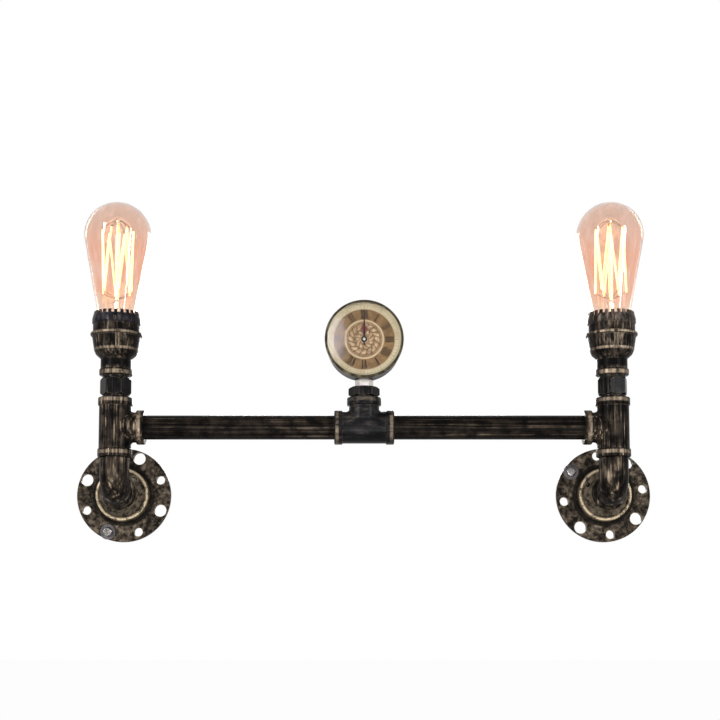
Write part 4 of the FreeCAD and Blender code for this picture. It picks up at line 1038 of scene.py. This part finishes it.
def rosette():
    """Relief on a polar grid: sixteen leaves that lean clockwise round twelve that lean back, with a
    ring of beads outside and a small collar inside. Returns points, quads and the relief as 0 to 1."""
    radius = np.linspace(rosette_inner_r, rosette_outer_r, rosette_rows)[:, None]
    angle = np.linspace(0, 2 * np.pi, rosette_columns, endpoint=False)[None, :]
    outer = leaves(radius, angle, outer_leaf_count, outer_leaf_foot, outer_leaf_tip,
                   outer_leaf_lean * (radius - outer_leaf_middle))
    inner = inner_leaf_share * leaves(radius, angle, inner_leaf_count, inner_leaf_foot, inner_leaf_tip,
                                      inner_leaf_lean * (radius - inner_leaf_middle))
    beads = np.clip(1 - ((radius - rosette_bead_r) / rosette_bead_half) ** 2, 0, 1)
    beads = rosette_bead_share * (beads * np.abs(np.cos(rosette_bead_count / 2 * angle)) ** 0.6)
    collar = np.clip(1 - ((radius - collar_r) / collar_half) ** 2, 0, 1) + 0 * angle
    relief = np.clip(np.maximum.reduce([outer, inner, beads, collar]), 0, 1)
    level = dial_front + 0.02 + rosette_rise * relief
    level[[0, -1]] = dial_front
    radius = radius + 0 * angle
    points = np.stack([radius * np.cos(angle), radius * np.sin(angle), level], -1)
    under = points[::-1][[0, -1]].copy()
    under[..., 2] = dial_front
    points = np.concatenate([points, under])
    relief = np.concatenate([relief, 0 * relief[:2]])
    return points.reshape(-1, 3), quads(len(points), points.shape[1], ring_rows=True), relief


def inside_of(tree, radius, edge, half):
    """1 inside a circle of the dial and 0 outside it, blended over twice the half width (mm)."""
    return ramp(tree, radius, (edge - half) * mm, (edge + half) * mm, 1.0, 0.0)


dial_plate, tree, shader = fine("dial plate", dial_cream, dial_cream_aged, 110.0, (0.4, 0.55),
                                Specular_IOR_Level=print_gloss)
place = object_place(tree)
radius = radius_from(tree, place, clock_centre, 1)
cloud = ramp(tree, noise(tree, place, 260.0, 4.0), 0.35, 0.65)
brown = mix(tree, cloud, dial_brown, dial_brown_light)
pale = mix(tree, cloud, dial_cream_aged, dial_pale)
cream = shader.inputs["Base Color"].links[0].from_socket
colour = mix(tree, inside_of(tree, radius, cream_from, 0.2), cream, brown)
colour = mix(tree, inside_of(tree, radius, brown_from, 0.1), colour, pale)
colour = mix(tree, inside_of(tree, radius, pale_from, 0.1), colour, rosette_low)
tree.links.new(colour, shader.inputs["Base Color"])
dress(dial_plate, "clock_dial")

ink = fine("dial ink", dial_ink, dial_ink_light, 300.0, (0.4, 0.6), Specular_IOR_Level=print_gloss)[0]
hours = [turned_clockwise(numeral(word), hour * math.pi / 6) for hour, word in enumerate(numeral_words)]
points, faces = plates(np.concatenate(hours), dial_front, dial_front + numeral_rise)
new_piece("dial_numerals", on_clock(points), faces, "clock_insert", ink)

ticks = []
for minute in range(60):
    half = tick_half if minute % 5 else hour_tick_half
    tick = np.array([(-half, tick_foot), (half, tick_foot), (half, tick_head), (-half, tick_head)])
    ticks.append(turned_clockwise(tick, minute * math.pi / 30))
track_top = dial_front + track_rise
shapes = [plates(np.stack(ticks), dial_front, track_top)]
for line in track_lines:
    inner, outer = line - track_line_half, line + track_line_half
    shapes.append(lathe([(inner, dial_front), (outer, dial_front), (outer, track_top), (inner, track_top)],
                        144))
points, faces = joined(shapes)
track_finish = fine("track ink", track_ink, track_ink_light, 300.0, (0.4, 0.6),
                    Specular_IOR_Level=print_gloss)[0]
new_piece("minute_track", on_clock(points), faces, "clock_insert", track_finish)

gilt, tree, shader = fine("gilt relief", rosette_high, rosette_mid, 420.0, (0.4, 0.55),
                          Specular_IOR_Level=gilt_gloss)
relief = node(tree, "ShaderNodeAttribute", attribute_name="relief").outputs["Fac"]
bright = shader.inputs["Base Color"].links[0].from_socket
tree.links.new(mix(tree, ramp(tree, relief, 0.12, 0.7), rosette_low, bright), shader.inputs["Base Color"])
points, faces, relief_values = rosette()
new_piece("dial_rosette", on_clock(points), faces, "clock_insert", gilt, relief=relief_values,
          sharp=60.0)

# ---------------------------------------------------------------- hands
# Black minute hand, dark red brown hour hand with a spade, and a small bright nut on the arbor.
enamel_black = (0.012, 0.012, 0.013)
enamel_black_dark = (0.006, 0.006, 0.007)
enamel_red = (0.17, 0.022, 0.015)
enamel_red_dark = (0.09, 0.014, 0.010)
nut_light = (0.50, 0.46, 0.40)
nut_dark = (0.34, 0.31, 0.26)

dress(fine("black enamel", enamel_black, enamel_black_dark, 400.0, (0.3, 0.45), Specular_IOR_Level=0.1)[0],
      "minute_hand")
dress(fine("brown enamel", enamel_red, enamel_red_dark, 400.0, (0.25, 0.4))[0], "hour_hand")
dress(fine("nut steel", nut_light, nut_dark, 300.0, (0.15, 0.28), 1.0)[0], "hand_nut")

# ---------------------------------------------------------------- lens
# Clear flat glass with a slight lavender coating that takes away most of its reflection. Its surface is
# a little soft, so that what it mirrors has no hard edge.
lens_lavender = (0.99, 0.985, 1.0)
lens_clear = (0.98, 0.98, 0.985)
lens_ior = 1.2
lens_roughness = 0.05

lens_glass, tree, output = new_material("lens glass")
cloud = ramp(tree, noise(tree, object_place(tree), 60.0, 2.0), 0.3, 0.7)
shader = node(tree, "ShaderNodeBsdfPrincipled")
shader.inputs["Transmission Weight"].default_value = 1.0
shader.inputs["Roughness"].default_value = lens_roughness
shader.inputs["IOR"].default_value = lens_ior
tree.links.new(mix(tree, cloud, lens_lavender, lens_clear), shader.inputs["Base Color"])
tree.links.new(shader.outputs[0], output.inputs["Surface"])
dress(lens_glass, "clock_lens")

# ---------------------------------------------------------------- lamp leads
# Pale silicone leads with a woven look, joined in white push-in connectors behind the flanges.
lead_light = (0.62, 0.58, 0.48)
lead_dark = (0.40, 0.36, 0.28)
connector_light = (0.80, 0.79, 0.75)
connector_dark = (0.68, 0.67, 0.63)

dress(fine("lead sleeve", lead_light, lead_dark, 700.0, (0.6, 0.8), 0.0, 0.0001)[0], *both("lamp_leads"))
dress(fine("connector plastic", connector_light, connector_dark, 240.0, (0.28, 0.42))[0], "wire_connectors")
